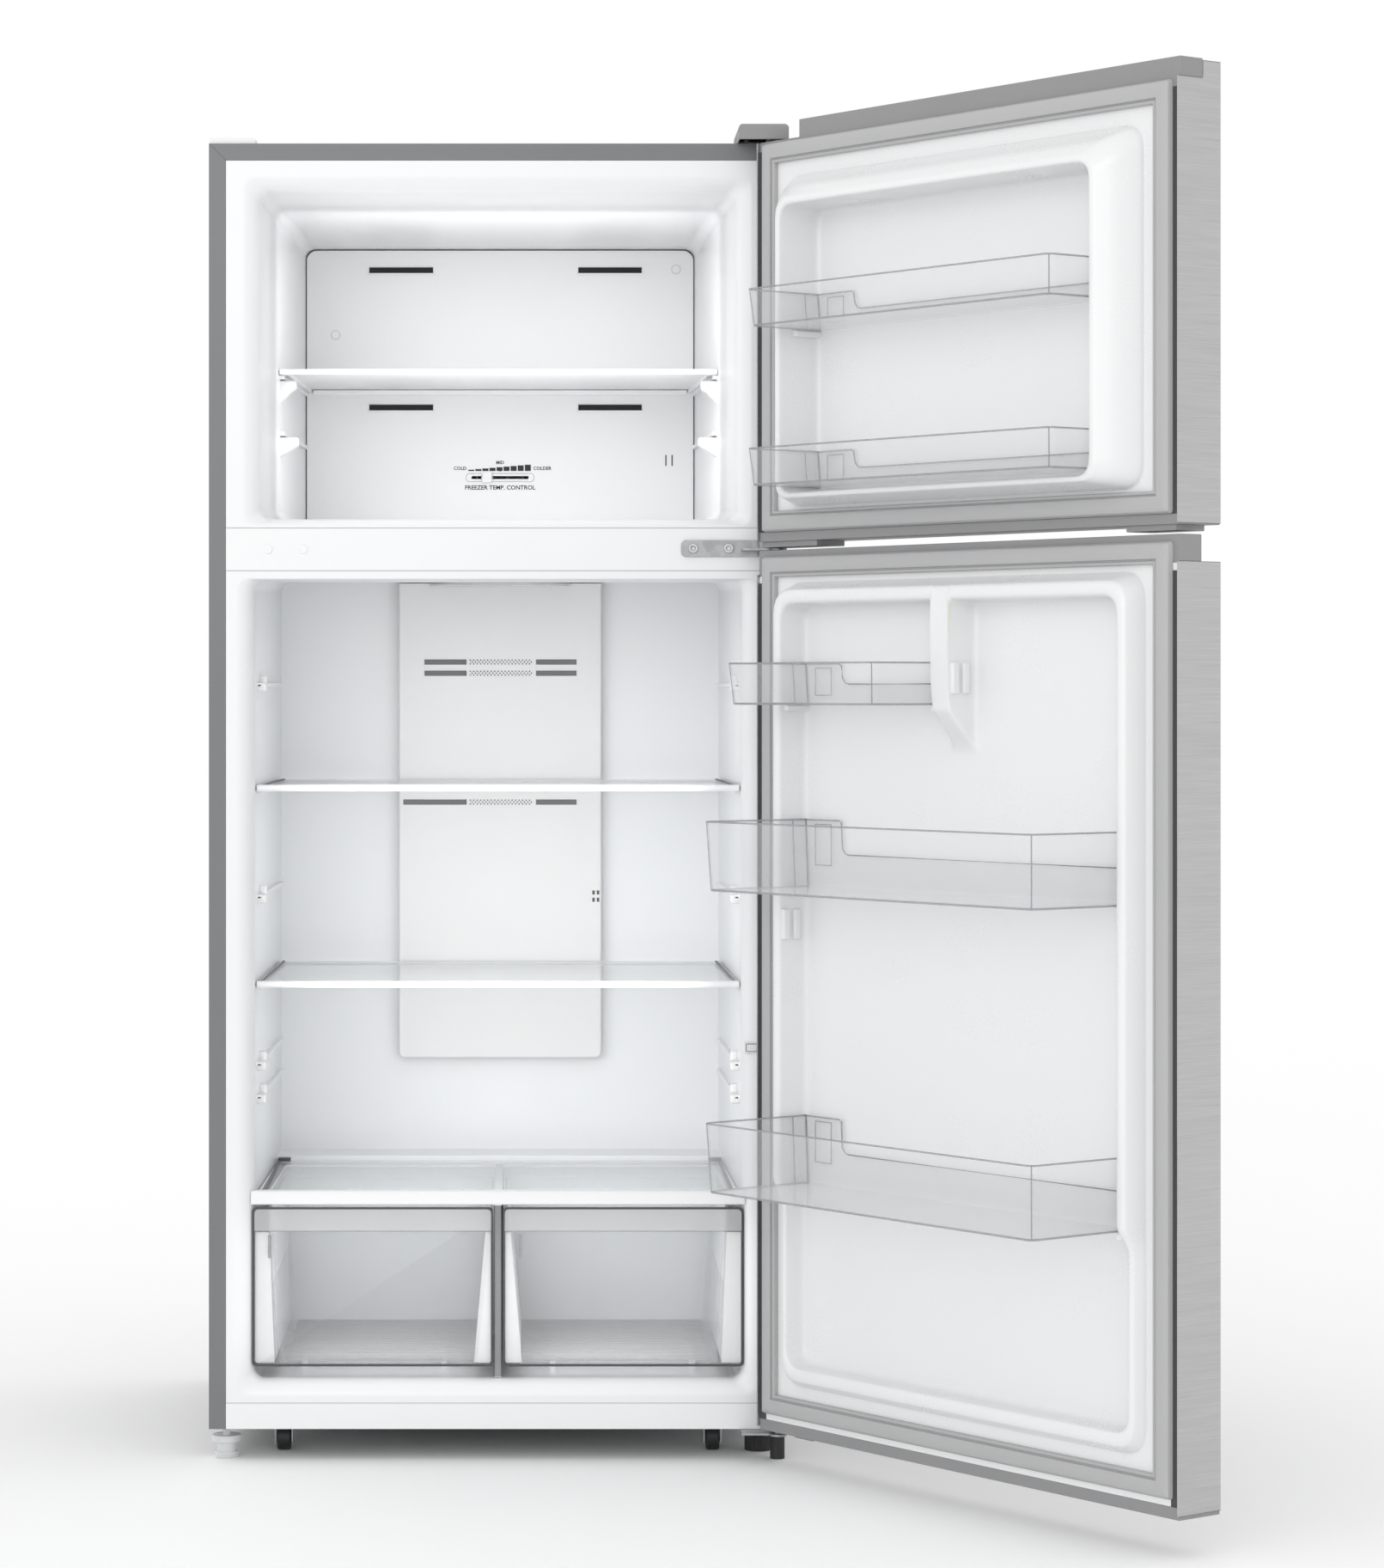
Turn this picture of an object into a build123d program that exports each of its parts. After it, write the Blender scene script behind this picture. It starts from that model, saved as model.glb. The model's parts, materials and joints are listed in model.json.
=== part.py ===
from build123d import *
from math import sin, cos, radians, sqrt
import os

# A top freezer refrigerator. Millimetres, +Z up, the doors face -Y and are hinged on the right (+X).
# The origin is the floor point under the middle of the cabinet. Both doors stand open by
# door_open_angle. Depths are counted from the cabinet's front plane: positive depths go into the
# cabinet, negative ones are in front of it, and a door is described as it lies when it is closed.

# ---- cabinet -------------------------------------------------------------------------------
cabinet_width = 732.0
cabinet_depth = 640.0
cabinet_top = 1668.0
base_height = 40.0
sheet = 1.0
front_flange = 21.5
mullion_low = 1127.0
mullion_high = 1181.0
toe_top = 73.0
liner_wall = 2.0
touch_gap = 0.3

# ---- cavities ------------------------------------------------------------------------------
mouth_round = 22.0
mouth_steps = 5
freezer_frame_inset = 21.9
freezer_frame_drop = 19.8
freezer_sill = 12.0
freezer_funnel_depth = 70.0
freezer_funnel_inset = 37.6
freezer_back_taper = 18.0
evaporator_space = 87.0
fridge_frame_inset = 13.5
fridge_header = 10.0
fridge_floor_rise = 30.0
fridge_side_taper = 7.0
fridge_back_depth = 481.0
ceiling_rise = 10.0
corner_round = 14.0
machine_front = 404.0
machine_top = 300.0
step_foam = 42.0

# ---- inner panels --------------------------------------------------------------------------
panel_thickness = 3.0
panel_depth = 455.0
duct_width = 279.0
duct_low = 470.0
duct_depth = 26.0
slot_height = 8.0
passage_width = 120.0
passage_depth = 14.0

# ---- shelves and crispers ------------------------------------------------------------------
glass = 4.0
side_clearance = 1.0
shelf_front_depth = 28.0
shelf_back_depth = 453.0
upper_shelf_top = 855.0
lower_shelf_top = 605.0
shelf_trim_height = 8.0
shelf_trim_width = 12.0
freezer_shelf_top = 1390.0
freezer_shelf_front = 100.0
freezer_shelf_back = 440.0
freezer_shelf_lip = 7.0
rib_reach = 6.0
rib_height = 5.0
spare_ribs = (980.0, 709.0, 495.0, 453.0)
spare_freezer_rib = 1305.0
cover_front_depth = 6.0
cover_back_depth = 392.0
cover_top = 341.0
cover_trim_height = 18.0
crisper_low = 118.0
crisper_front_depth = 8.0
crisper_length = 380.0
crisper_wall = 2.5
crisper_side_slope = 17.0
crisper_lift = 6.0
divider_width = 9.0

# ---- doors ---------------------------------------------------------------------------------
door_open_angle = 126.8
door_thickness = 65.0
door_gap = 10.0
gasket_clearance = 0.4
gasket_inset = 11.0
gasket_width = 26.0
side_return_stop = 6.0
cap_depth = 46.0
door_wall_depth = 24.0
freezer_door_rise = 18.0
freezer_skin_drop = 4.0
freezer_door_lap = 19.0
door_spacing = 11.0
fridge_skin_drop = 30.5
fridge_skin_rise = 4.5
fridge_door_rise = 6.0
cap_thickness = 12.0
spacer_height = 7.0
hinge_relief = 77.0
gasket_drop = 7.0
fridge_gasket_drop = 8.0
toe_lap = 5.0
freezer_ridge_gap = 18.0
fridge_ridge_gap = 15.0
freezer_ridge_height = 40.0
freezer_ridge_slope = 36.0
freezer_ridge_shoulder = 16.0
freezer_ridge_foot = 8.0
freezer_crest = 5.0
fridge_ridge_height = 20.0
fridge_ridge_slope = 8.0
fridge_crest = 13.0
rim_height = 5.0
ridge_end = 355.0
rib_width = 30.0
rib_end = 954.0

# ---- door bins -----------------------------------------------------------------------------
bin_wall = 2.2
bin_side_clearance = 4.0
bin_front_round = 12.0
bin_draft = 4.0
bin_back_gap = 3.0
freezer_bin_reach = 97.0
fridge_bin_reach = 146.0
half_bin_reach = 110.0
freezer_bin_height = 46.0
fridge_bin_height = 85.0
half_bin_height = 51.0
freezer_bins = (1421.0, 1226.0)
fridge_bins = (730.5, 362.0)
half_bin_low = 958.0

# ---- hinges, rollers and feet --------------------------------------------------------------
hinge_inset = 13.0
hinge_forward = 30.0
plate = 3.0
pin_radius = 4.0
running_clearance = 0.06
arm_gap = 0.5
hinge_plate_height = 21.0
hinge_plate_length = 98.0
hinge_plate_inset = 23.0
screw_radius = 3.0
head_radius = 6.0
head_height = 5.0
screw_length = 14.0
hinge_cover_height = 20.0
hinge_cover_wall = 2.0
roller_radius = 17.5
roller_width = 17.0
roller_axle = 4.0
front_roller_inset = 91.0
front_roller_depth = 80.0
rear_roller_inset = 76.0
rear_roller_depth = 600.0
bracket_plate = 2.5
foot_stud = 5.0
left_foot_inset = 20.5
left_foot_depth = 28.0
left_foot_radius = 15.0
wheel_inset = 32.0
wheel_depth = 80.0
wheel_radius = 17.5
wheel_height = 19.0
right_foot_inset = 11.0
right_foot_depth = 18.0
right_foot_radius = 9.3
right_foot_height = 27.0

# ---- cooling system ------------------------------------------------------------------------
fan_height = 1470.0
fan_radius = 52.0
fan_depth = 478.0
shaft_radius = 2.0
motor_radius = 24.0
coil_half_width = 200.0
coil_low = 1215.0
coil_rows = 4
coil_pitch = 42.0
tube_radius = 4.0
fin = 0.8
fin_count = 18
compressor_x = 150.0
compressor_depth = 520.0
compressor_radius = 88.0
compressor_height = 150.0
condenser_radius = 2.5
condenser_passes = 4

# ---- derived places ------------------------------------------------------------------------
half_width = cabinet_width / 2
front_y = -cabinet_depth / 2
hinge_x = half_width - hinge_inset
hinge_plate_right = hinge_x - hinge_plate_inset
front_roller_x = half_width - front_roller_inset
rear_roller_x = half_width - rear_roller_inset
wheel_x = half_width - wheel_inset
freezer_door_top = cabinet_top + freezer_door_rise
freezer_skin_top = cabinet_top - freezer_skin_drop
freezer_door_bottom = mullion_high - freezer_door_lap
fridge_door_top = freezer_door_bottom - door_spacing
fridge_skin_top = fridge_door_top - fridge_skin_drop
fridge_door_bottom = base_height + fridge_door_rise
fridge_skin_bottom = fridge_door_bottom + fridge_skin_rise
freezer_gasket_low = mullion_high - gasket_drop
freezer_gasket_high = cabinet_top - gasket_drop
fridge_gasket_low = toe_top - toe_lap
fridge_gasket_high = fridge_door_top - fridge_gasket_drop
freezer_back_depth = panel_depth + panel_thickness + evaporator_space
door_front = -(door_gap + door_thickness)
axis_depth = -hinge_forward
freezer_frame = half_width - front_flange - freezer_frame_inset
freezer_neck = freezer_frame - mouth_round
freezer_funnel = freezer_frame - freezer_funnel_inset
freezer_ceiling = cabinet_top - front_flange - freezer_frame_drop - mouth_round
freezer_floor = mullion_high + freezer_sill
fridge_frame = half_width - front_flange - fridge_frame_inset
fridge_neck = fridge_frame - mouth_round
fridge_ceiling = mullion_low - fridge_header - plate
fridge_floor = toe_top + fridge_floor_rise
step_top = machine_top + step_foam
cover_rail_high = cover_top - 5
cover_rail_low = cover_rail_high - glass - 4
gasket_half = half_width - gasket_inset
freezer_ridge_half = gasket_half - gasket_width - freezer_ridge_gap
fridge_ridge_half = gasket_half - gasket_width - fridge_ridge_gap
freezer_bin_edge = freezer_ridge_half - freezer_ridge_slope - freezer_crest
fridge_bin_edge = fridge_ridge_half - fridge_ridge_slope - fridge_crest
right_foot_x = half_width - right_foot_inset
arm_low = fridge_door_top + arm_gap
arm_high = freezer_door_bottom - spacer_height - arm_gap


os.makedirs("parts", exist_ok=True)


def save(name, shape):
    """Writes one node of the fixed cabinet or of a piece that stays in the cabinet."""
    shape.label = name
    export_step(shape, f"parts/{name}.step")


def save_on_door(name, shape):
    """Writes one node that swings with a door, turned about the hinge axis to where it stands open."""
    axis = Axis((hinge_x, front_y + axis_depth, 0), (0, 0, 1))
    save(name, shape.rotate(axis, door_open_angle))


def block(x_low, x_high, d_low, d_high, z_low, z_high):
    """A box given by its limits across, in depth and in height."""
    place = Pos((x_low + x_high) / 2, front_y + (d_low + d_high) / 2, (z_low + z_high) / 2)
    return place * Box(x_high - x_low, d_high - d_low, z_high - z_low)


def upright(x, depth, z_low, z_high, radius):
    """A vertical cylinder."""
    return Pos(x, front_y + depth, (z_low + z_high) / 2) * Cylinder(radius, z_high - z_low)


def crosswise(x_low, x_high, depth, z, radius):
    """A cylinder that lies across the cabinet."""
    place = Pos((x_low + x_high) / 2, front_y + depth, z) * Rot(0, 90, 0)
    return place * Cylinder(radius, x_high - x_low)


def endwise(x, d_low, d_high, z, radius):
    """A cylinder that points from the front to the back."""
    place = Pos(x, front_y + (d_low + d_high) / 2, z) * Rot(90, 0, 0)
    return place * Cylinder(radius, d_high - d_low)


def standing_face(depth, half, z_low, z_high, radius=corner_round):
    """A rounded rectangle that stands at one depth, for lofts."""
    middle = (0, front_y + depth, (z_low + z_high) / 2)
    stand = Plane(origin=middle, x_dir=(1, 0, 0), z_dir=(0, -1, 0))
    return stand * RectangleRounded(2 * half, z_high - z_low, radius)


def funnel(stations, radius=corner_round):
    """A straight-sided loft through (depth, half width, low, high) stations."""
    return loft([standing_face(*station, radius) for station in stations], ruled=True)


def lying_face(z, x_low, x_high, d_low, d_high, radius):
    """A rounded rectangle that lies at one height, for lofts."""
    place = Pos((x_low + x_high) / 2, front_y + (d_low + d_high) / 2, z)
    return place * RectangleRounded(x_high - x_low, d_high - d_low, radius)


def plan_plate(d_front, d_back, half_front, half_back, z_low, z_high):
    """A flat plate whose width changes from front to back."""
    corners = [
        (-half_front, front_y + d_front),
        (half_front, front_y + d_front),
        (half_back, front_y + d_back),
        (-half_back, front_y + d_back),
    ]
    outline = make_face(Polyline(*corners, close=True))
    return Pos(0, 0, z_low) * extrude(outline, z_high - z_low)


def joined(shapes):
    """All shapes fused into one."""
    shapes = list(shapes)
    whole = shapes[0]
    for shape in shapes[1:]:
        whole = whole + shape
    return whole


def group(shapes):
    """Separate solids kept in one node."""
    return Compound(children=[solid for shape in shapes for solid in shape.solids()])


def freezer_half(depth):
    """Half the width of the freezer cavity at a depth behind its funnel."""
    run = (depth - freezer_funnel_depth) / (freezer_back_depth - freezer_funnel_depth)
    return freezer_funnel - run * (freezer_back_taper + 4.0)


def fridge_half(depth):
    """Half the width of the fresh food cavity at a depth behind its mouth."""
    run = (depth - mouth_round) / (fridge_back_depth - mouth_round)
    return fridge_neck - run * fridge_side_taper


def mouth_half(depth):
    """Half the width of the fresh food cavity inside its rounded mouth."""
    left_over = 1 - min(depth, mouth_round) / mouth_round
    return fridge_frame - mouth_round * sqrt(1 - left_over**2)


def mouth(frame, frame_low, frame_high, neck_low, neck_high, grow):
    """The stations of a rounded cavity mouth, from the frame line to the neck."""
    stations = []
    for step in range(mouth_steps + 1):
        turn = radians(90 * step / mouth_steps)
        deep, inward = 1 - cos(turn), sin(turn)
        half = frame - inward * mouth_round + grow
        low = frame_low + inward * (neck_low - frame_low) - grow
        high = frame_high + inward * (neck_high - frame_high) + grow
        stations.append((deep * mouth_round + grow * (deep > 0), half, low, high))
    return stations


def freezer_form(grow):
    """The freezer cavity, grown by a wall thickness for the outside of its liner."""
    frame_high = cabinet_top - front_flange - freezer_frame_drop
    stations = mouth(freezer_frame, mullion_high + 2, frame_high, freezer_floor, freezer_ceiling, grow)
    low = freezer_floor - grow
    stations.append((freezer_funnel_depth, freezer_funnel + grow, low, freezer_ceiling - 15 + grow))
    back_half = freezer_half(freezer_back_depth)
    stations.append((freezer_back_depth + grow, back_half + grow, low, freezer_ceiling - 25 + grow))
    return funnel(stations)


def fridge_form(grow):
    """The fresh food cavity with its floor raised over the machine compartment."""
    low, high = toe_top + 8.0, mullion_low - fridge_header
    stations = mouth(fridge_frame, low, high, fridge_floor, fridge_ceiling, grow)
    back_half = fridge_half(fridge_back_depth)
    back_high = fridge_ceiling + ceiling_rise + grow
    stations.append((fridge_back_depth + grow, back_half + grow, fridge_floor - grow, back_high))
    step = block(-half_width, half_width, machine_front - 4 + grow, cabinet_depth, 0, step_top - grow)
    return funnel(stations) - step


def liner_flange(z_low, z_high):
    """The flat white rim between the cabinet's steel flange and a cavity."""
    half = half_width - front_flange
    return block(-half, half, 0, liner_wall, z_low, z_high)


def air_passage(z_low, z_high):
    """The hole that leads cold air from the evaporator space down into the duct."""
    start = panel_depth + panel_thickness + 4
    half = passage_width / 2
    return block(-half, half, start, start + passage_depth, z_low, z_high)


def wall_ribs(half_at, z_low, d_front, d_back, height=rib_height):
    """A pair of shelf ribs that stand out of the side walls."""
    wall = plan_plate(d_front, d_back, half_at(d_front) + 1, half_at(d_back) + 1, z_low, z_low + height)
    inside = (half_at(d_front) - rib_reach, half_at(d_back) - rib_reach)
    gap = plan_plate(d_front - 1, d_back + 1, *inside, z_low - 1, z_low + height + 1)
    return wall - gap


# ---- cabinet -------------------------------------------------------------------------------
def make_cabinet_shell():
    inner = half_width - sheet
    opening = half_width - front_flange
    body = block(-half_width, half_width, 0, cabinet_depth, base_height, cabinet_top)
    body -= block(-inner, inner, sheet, cabinet_depth + 1, 0, cabinet_top - sheet)
    body -= block(-opening, opening, -1, sheet + 1, 0, cabinet_top - front_flange)
    return body - screw_holes()


def make_rear_panel():
    inner = half_width - sheet
    back = cabinet_depth
    return block(-inner, inner, back - sheet, back, machine_top, cabinet_top - sheet)


def make_base_pan():
    inner = half_width - sheet
    floor = block(-inner, inner, liner_wall, cabinet_depth, base_height, base_height + sheet)
    riser = block(-inner, inner, machine_front, machine_front + sheet, base_height, machine_top)
    roof = block(-inner, inner, machine_front, cabinet_depth - sheet, machine_top - sheet, machine_top)
    return floor + riser + roof - screw_holes()


def make_freezer_liner():
    liner = freezer_form(liner_wall) + liner_flange(mullion_high, cabinet_top - front_flange)
    liner -= freezer_form(0)
    rib_z = freezer_shelf_top - freezer_shelf_lip - touch_gap - rib_height
    for z in (rib_z, spare_freezer_rib):
        liner += wall_ribs(freezer_half, z, freezer_shelf_front + 10, freezer_shelf_back - 10)
    return liner - air_passage(freezer_floor - 10, freezer_floor + 1)


def make_fridge_liner():
    liner = fridge_form(liner_wall) + liner_flange(toe_top, mullion_low)
    liner -= fridge_form(0)
    seats = [top - shelf_trim_height - touch_gap - rib_height for top in (upper_shelf_top, lower_shelf_top)]
    for z in (*seats, *spare_ribs):
        liner += wall_ribs(fridge_half, z, shelf_front_depth + 22, shelf_back_depth - 18)
    ledge = cover_rail_low - rib_height
    liner += wall_ribs(fridge_half, ledge, cover_front_depth + 40, cover_back_depth)
    for x in (-250, -70, 70, 250):
        end = machine_front - 10
        liner += block(x - 4, x + 4, 100, end, fridge_floor - 1, crisper_low - touch_gap)
    liner -= air_passage(fridge_ceiling, mullion_low)
    return liner - switch_pocket()


def make_insulation():
    inner = half_width - sheet
    foam = block(-inner, inner, sheet, cabinet_depth - sheet, base_height + sheet, cabinet_top - sheet)
    foam -= block(-inner, inner, machine_front, cabinet_depth, base_height, machine_top)
    half = half_width - front_flange
    foam -= block(-half, half, 0, liner_wall, base_height, cabinet_top - front_flange)
    foam -= freezer_form(liner_wall)
    foam -= fridge_form(liner_wall)
    foam -= air_passage(fridge_ceiling, freezer_floor)
    foam -= screw_holes()
    for side in (-1, 1):
        foam -= condenser_side(side)
    return foam - block(hinge_x - 50, hinge_x, 0, 34, switch_z - 10, switch_z + 10)


def make_mullion_cover():
    half = half_width - front_flange
    cover = block(-half, half, 0, liner_wall, mullion_low, mullion_high)
    for x in plug_places:
        cover -= endwise(x, -1, liner_wall + 1, mullion_middle, plug_radius)
    return cover - screw_holes()


def make_toe_panel():
    half = half_width - front_flange
    return block(-half, half, 0, liner_wall, base_height, toe_top)


plug_radius = 4.5
mullion_middle = (mullion_low + mullion_high) / 2
hinge_middle = mullion_middle + 1
plug_places = (25.0 - half_width + 50, 25.0 - half_width + 94.6)


def make_hole_covers():
    """The covers over the holes for a left-hand hinge: one on top, two in the mullion."""
    left = -half_width
    cap = block(left, left + 59, 5, 60, cabinet_top, cabinet_top + 8)
    cap = fillet(cap.edges().group_by(Axis.Z)[-1], 2.5)
    plugs = []
    for x in plug_places:
        head = endwise(x, -1.2, 0, mullion_middle, plug_radius + 1)
        plugs.append(head + endwise(x, -0.5, liner_wall, mullion_middle, plug_radius))
    return group([cap, *plugs])


# ---- inner panels --------------------------------------------------------------------------
slot_left = (-180.0, -92.0)
slot_right = (107.5, 195.0)
slot_levels = (1553.0, 1364.3)
track_half = 42.0
track_height = 4.0
track_z = 1268.0
knob_x = -18.0
knob_width = 13.0
knob_height = 14.0


def make_freezer_back_panel():
    back = panel_depth + panel_thickness
    half = freezer_half(back) - 0.5
    high = freezer_ceiling - 24.0
    panel = funnel([(panel_depth, half, freezer_floor, high), (back, half, freezer_floor, high)],
                   corner_round + 3)
    through = (panel_depth - 1, panel_depth + panel_thickness + 1)
    for z in slot_levels:
        for x_low, x_high in (slot_left, slot_right):
            panel -= block(x_low, x_high, *through, z - slot_height / 2, z + slot_height / 2)
    track = track_half - knob_width / 2 + 3.5
    return panel - block(-track, track, *through, track_z - track_height / 2, track_z + track_height / 2)


def make_control_slider():
    """The temperature slider: the knob in front, its stem and the gate over the air passage."""
    z = track_z
    knob = block(knob_x - knob_width / 2, knob_x + knob_width / 2, panel_depth - 6, panel_depth - 0.4,
                 z - knob_height / 2, z + knob_height / 2)
    behind = panel_depth + panel_thickness + 0.4
    stem = block(knob_x - 3, knob_x + 3, panel_depth - 1, behind + 1, z - 1.7, z + 1.7)
    strap = block(knob_x - 8, knob_x + 8, behind, behind + 2, freezer_floor + 0.5, z + 4)
    half = passage_width / 2 + 4
    gate = block(knob_x - half, knob_x + half, behind, behind + passage_depth + 6,
                 freezer_floor + 0.5, freezer_floor + 2.5)
    return knob + stem + strap + gate


vent_rows = ((-104.0, -46.2, 1014.4), (49.5, 105.1, 1014.4), (-104.0, -46.2, 999.0),
             (49.5, 105.1, 999.0), (-138.0 + 5, -46.2, 821.8), (49.5, 105.1, 821.8))


def make_air_duct():
    half = duct_width / 2
    top = fridge_ceiling + ceiling_rise - 1.5
    back = fridge_back_depth
    front = back - duct_depth
    duct = block(-half, half, front, back, duct_low, top)
    duct = fillet(duct.edges().filter_by(Axis.Y).group_by(Axis.Z)[0], 8)
    duct = fillet(duct.faces().sort_by(Axis.Y)[0].edges().filter_by(Axis.Z), 3)
    wall = panel_thickness
    duct -= block(-half + wall, half - wall, front + wall, back + 1, duct_low + wall, top - wall)
    for x_low, x_high, z in vent_rows:
        duct -= block(x_low, x_high, front - 1, front + wall + 1, z - 3.5, z + 3.5)
    return duct - air_passage(top - wall - 1, top + 1)


def make_lamp_lens():
    """A flat half-moon lens under the ceiling, in front of the duct."""
    reach = 55.0
    back = fridge_back_depth - duct_depth - 0.5
    half_moon = Pos(0, front_y + back, 0) * Ellipse(97, reach)
    half_moon -= Pos(0, front_y + back + reach, 0) * Rectangle(300, 2 * reach)
    ceiling = fridge_ceiling + ceiling_rise * (back - reach - mouth_round) / (fridge_back_depth - mouth_round)
    return Pos(0, 0, ceiling - 3.6) * extrude(half_moon, 3.6)


# ---- cooling system ------------------------------------------------------------------------
def make_evaporator():
    """A finned tube coil that stands behind the freezer's back panel."""
    depth = (panel_depth + panel_thickness + freezer_back_depth) / 2 + 4
    rows = [coil_low + 20 + i * coil_pitch for i in range(coil_rows)]
    parts = [crosswise(-coil_half_width, coil_half_width, depth, z, tube_radius) for z in rows]
    for i, z in enumerate(rows[:-1]):
        x = coil_half_width if i % 2 == 0 else -coil_half_width
        parts.append(upright(x, depth, z - tube_radius, z + coil_pitch + tube_radius, tube_radius))
    step = (2 * coil_half_width - 40) / (fin_count - 1)
    high = rows[-1] + 20
    for i in range(fin_count):
        x = -coil_half_width + 20 + i * step
        end = freezer_back_depth if i in (0, fin_count - 1) else depth + 28
        parts.append(block(x - fin / 2, x + fin / 2, depth - 28, end, coil_low, high))
    return joined(parts)


def make_fan_motor():
    """The motor on its cross bracket, with the fan's shaft."""
    back = freezer_back_depth
    motor = endwise(0, fan_depth + 14, fan_depth + 40, fan_height, motor_radius)
    shaft = endwise(0, fan_depth - 8, fan_depth + 15, fan_height, shaft_radius)
    spine = block(-70, 70, fan_depth + 38, fan_depth + 42, fan_height - 9, fan_height + 9)
    legs = [block(x - 5, x + 5, fan_depth + 40, back, fan_height - 9, fan_height + 9) for x in (-65, 65)]
    return joined([motor, shaft, spine, *legs])


def make_fan():
    """Five blades on a hub that runs on the motor's shaft."""
    hub = endwise(0, fan_depth - 9, fan_depth + 9, fan_height, 14)
    middle = Pos(0, front_y + fan_depth, fan_height)
    blades = []
    for i in range(5):
        turn = Rot(0, 72 * i, 0)
        reach = fan_radius - 12
        blades.append(middle * turn * Pos(12 + reach / 2, 0, 0) * Rot(28, 0, 0) * Box(reach, 1.6, 30))
    bore = endwise(0, fan_depth - 8 - touch_gap, fan_depth + 10, fan_height, shaft_radius + running_clearance)
    return joined([hub, *blades]) - bore


def make_compressor():
    """The hermetic shell, its base plate, rubber feet and terminal box."""
    x, depth = compressor_x, compressor_depth
    low = base_height + sheet + 14
    shell = upright(x, depth, low, low + compressor_height, compressor_radius)
    shell = fillet(shell.edges().filter_by(GeomType.CIRCLE), 34)
    base = block(x - 105, x + 105, depth - 70, depth + 70, low - 4, low)
    seat = upright(x, depth, low - 4, low + 40, compressor_radius - 34)
    feet = [upright(x + i * 92, depth + j * 56, base_height + sheet, low - 2, 9)
            for i in (-1, 1) for j in (-1, 1)]
    box = block(x - compressor_radius - 26, x - compressor_radius + 14, depth - 30, depth + 30, low + 45, low + 100)
    return joined([shell, seat, base, box, *feet])


def make_drain_pan():
    """The shallow tray over the compressor where melt water dries off."""
    low = base_height + sheet + 14 + compressor_height + 14
    pan = block(-170, 250, 440, 600, low, low + 26)
    pan -= block(-168, 248, 442, 598, low + 2, low + 27)
    straps = [block(x - 8, x + 8, 480, 560, low + 24, machine_top - sheet) for x in (-162, 242)]
    return joined([pan, *straps])


def condenser_side(side):
    """One serpentine of condenser tube in the foam, against the side wall."""
    x = side * (half_width - sheet - condenser_radius)
    low, high = machine_top + 60, cabinet_top - 120
    first, pitch = 150.0, 130.0
    depths = [first + i * pitch for i in range(condenser_passes)]
    parts = [upright(x, d, low, high, condenser_radius) for d in depths]
    for i, d in enumerate(depths[:-1]):
        z = high if i % 2 == 0 else low
        parts.append(endwise(x, d - condenser_radius, d + pitch + condenser_radius, z, condenser_radius))
    return joined(parts)


gland_x, gland_z = -250.0, 150.0
gland_radius = 9.0


def make_compressor_cover():
    """The louvred plate that closes the machine compartment."""
    inner = half_width - sheet
    back = cabinet_depth
    cover = block(-inner, inner, back - sheet, back, base_height + sheet, machine_top - sheet)
    for i in range(8):
        for x in (-90, 60, 210):
            z = 90 + i * 22
            cover -= block(x - 55, x + 55, back - 5, back + 5, z - 3, z + 3)
    return cover - endwise(gland_x, back - 5, back + 5, gland_z, gland_radius)


def make_cord_gland():
    """The grommet in the cover that a supply cord would pass through."""
    back = cabinet_depth
    gland = endwise(gland_x, back - sheet, back, gland_z, gland_radius)
    gland += endwise(gland_x, back, back + 4, gland_z, gland_radius + 4)
    gland += endwise(gland_x, back - sheet - 3, back - sheet, gland_z, gland_radius + 3)
    return gland - endwise(gland_x, back - 20, back + 20, gland_z, 4.5)


# ---- light switch --------------------------------------------------------------------------
switch_z = 523.0
switch_travel = 3.0


def switch_x():
    """The switch sits in the rim, between the cavity and the steel flange."""
    return hinge_x - 31.5


def switch_pocket():
    """The square hole in the liner's rim for the light switch."""
    x = switch_x()
    return block(x - 7, x + 7, -1, 40, switch_z - 5, switch_z + 5)


def make_switch_plunger():
    x = switch_x()
    stem = block(x - 6.5, x + 6.5, -switch_travel, 14, switch_z - 4.4, switch_z + 4.4)
    return fillet(stem.faces().sort_by(Axis.Y)[0].edges(), 1)


# ---- shelves and crispers ------------------------------------------------------------------
def shelf_half(depth):
    return fridge_half(depth) - side_clearance - 0.5


def make_shelf_glass(top):
    front = shelf_front_depth + shelf_trim_width / 2
    back = shelf_back_depth - 3
    z_high = top - 2
    return plan_plate(front, back, shelf_half(front) - 2, shelf_half(back) - 2, z_high - glass, z_high)


def make_shelf_frame(top):
    """The front and back trims of a glass shelf and the side edges that join them."""
    front, back = shelf_front_depth, shelf_back_depth
    low = top - shelf_trim_height
    body = plan_plate(front, back, shelf_half(front), shelf_half(back), low, top)
    inner_front, inner_back = front + shelf_trim_width, back - 10
    halves = (shelf_half(inner_front) - 7, shelf_half(inner_back) - 7)
    body -= plan_plate(inner_front, inner_back, *halves, low - 1, top + 1)
    body -= plan_plate(inner_front, back + 1, shelf_half(inner_front) + 5, shelf_half(back) + 5,
                       top - 2, top + 1)
    return body - make_shelf_glass(top)


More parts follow.
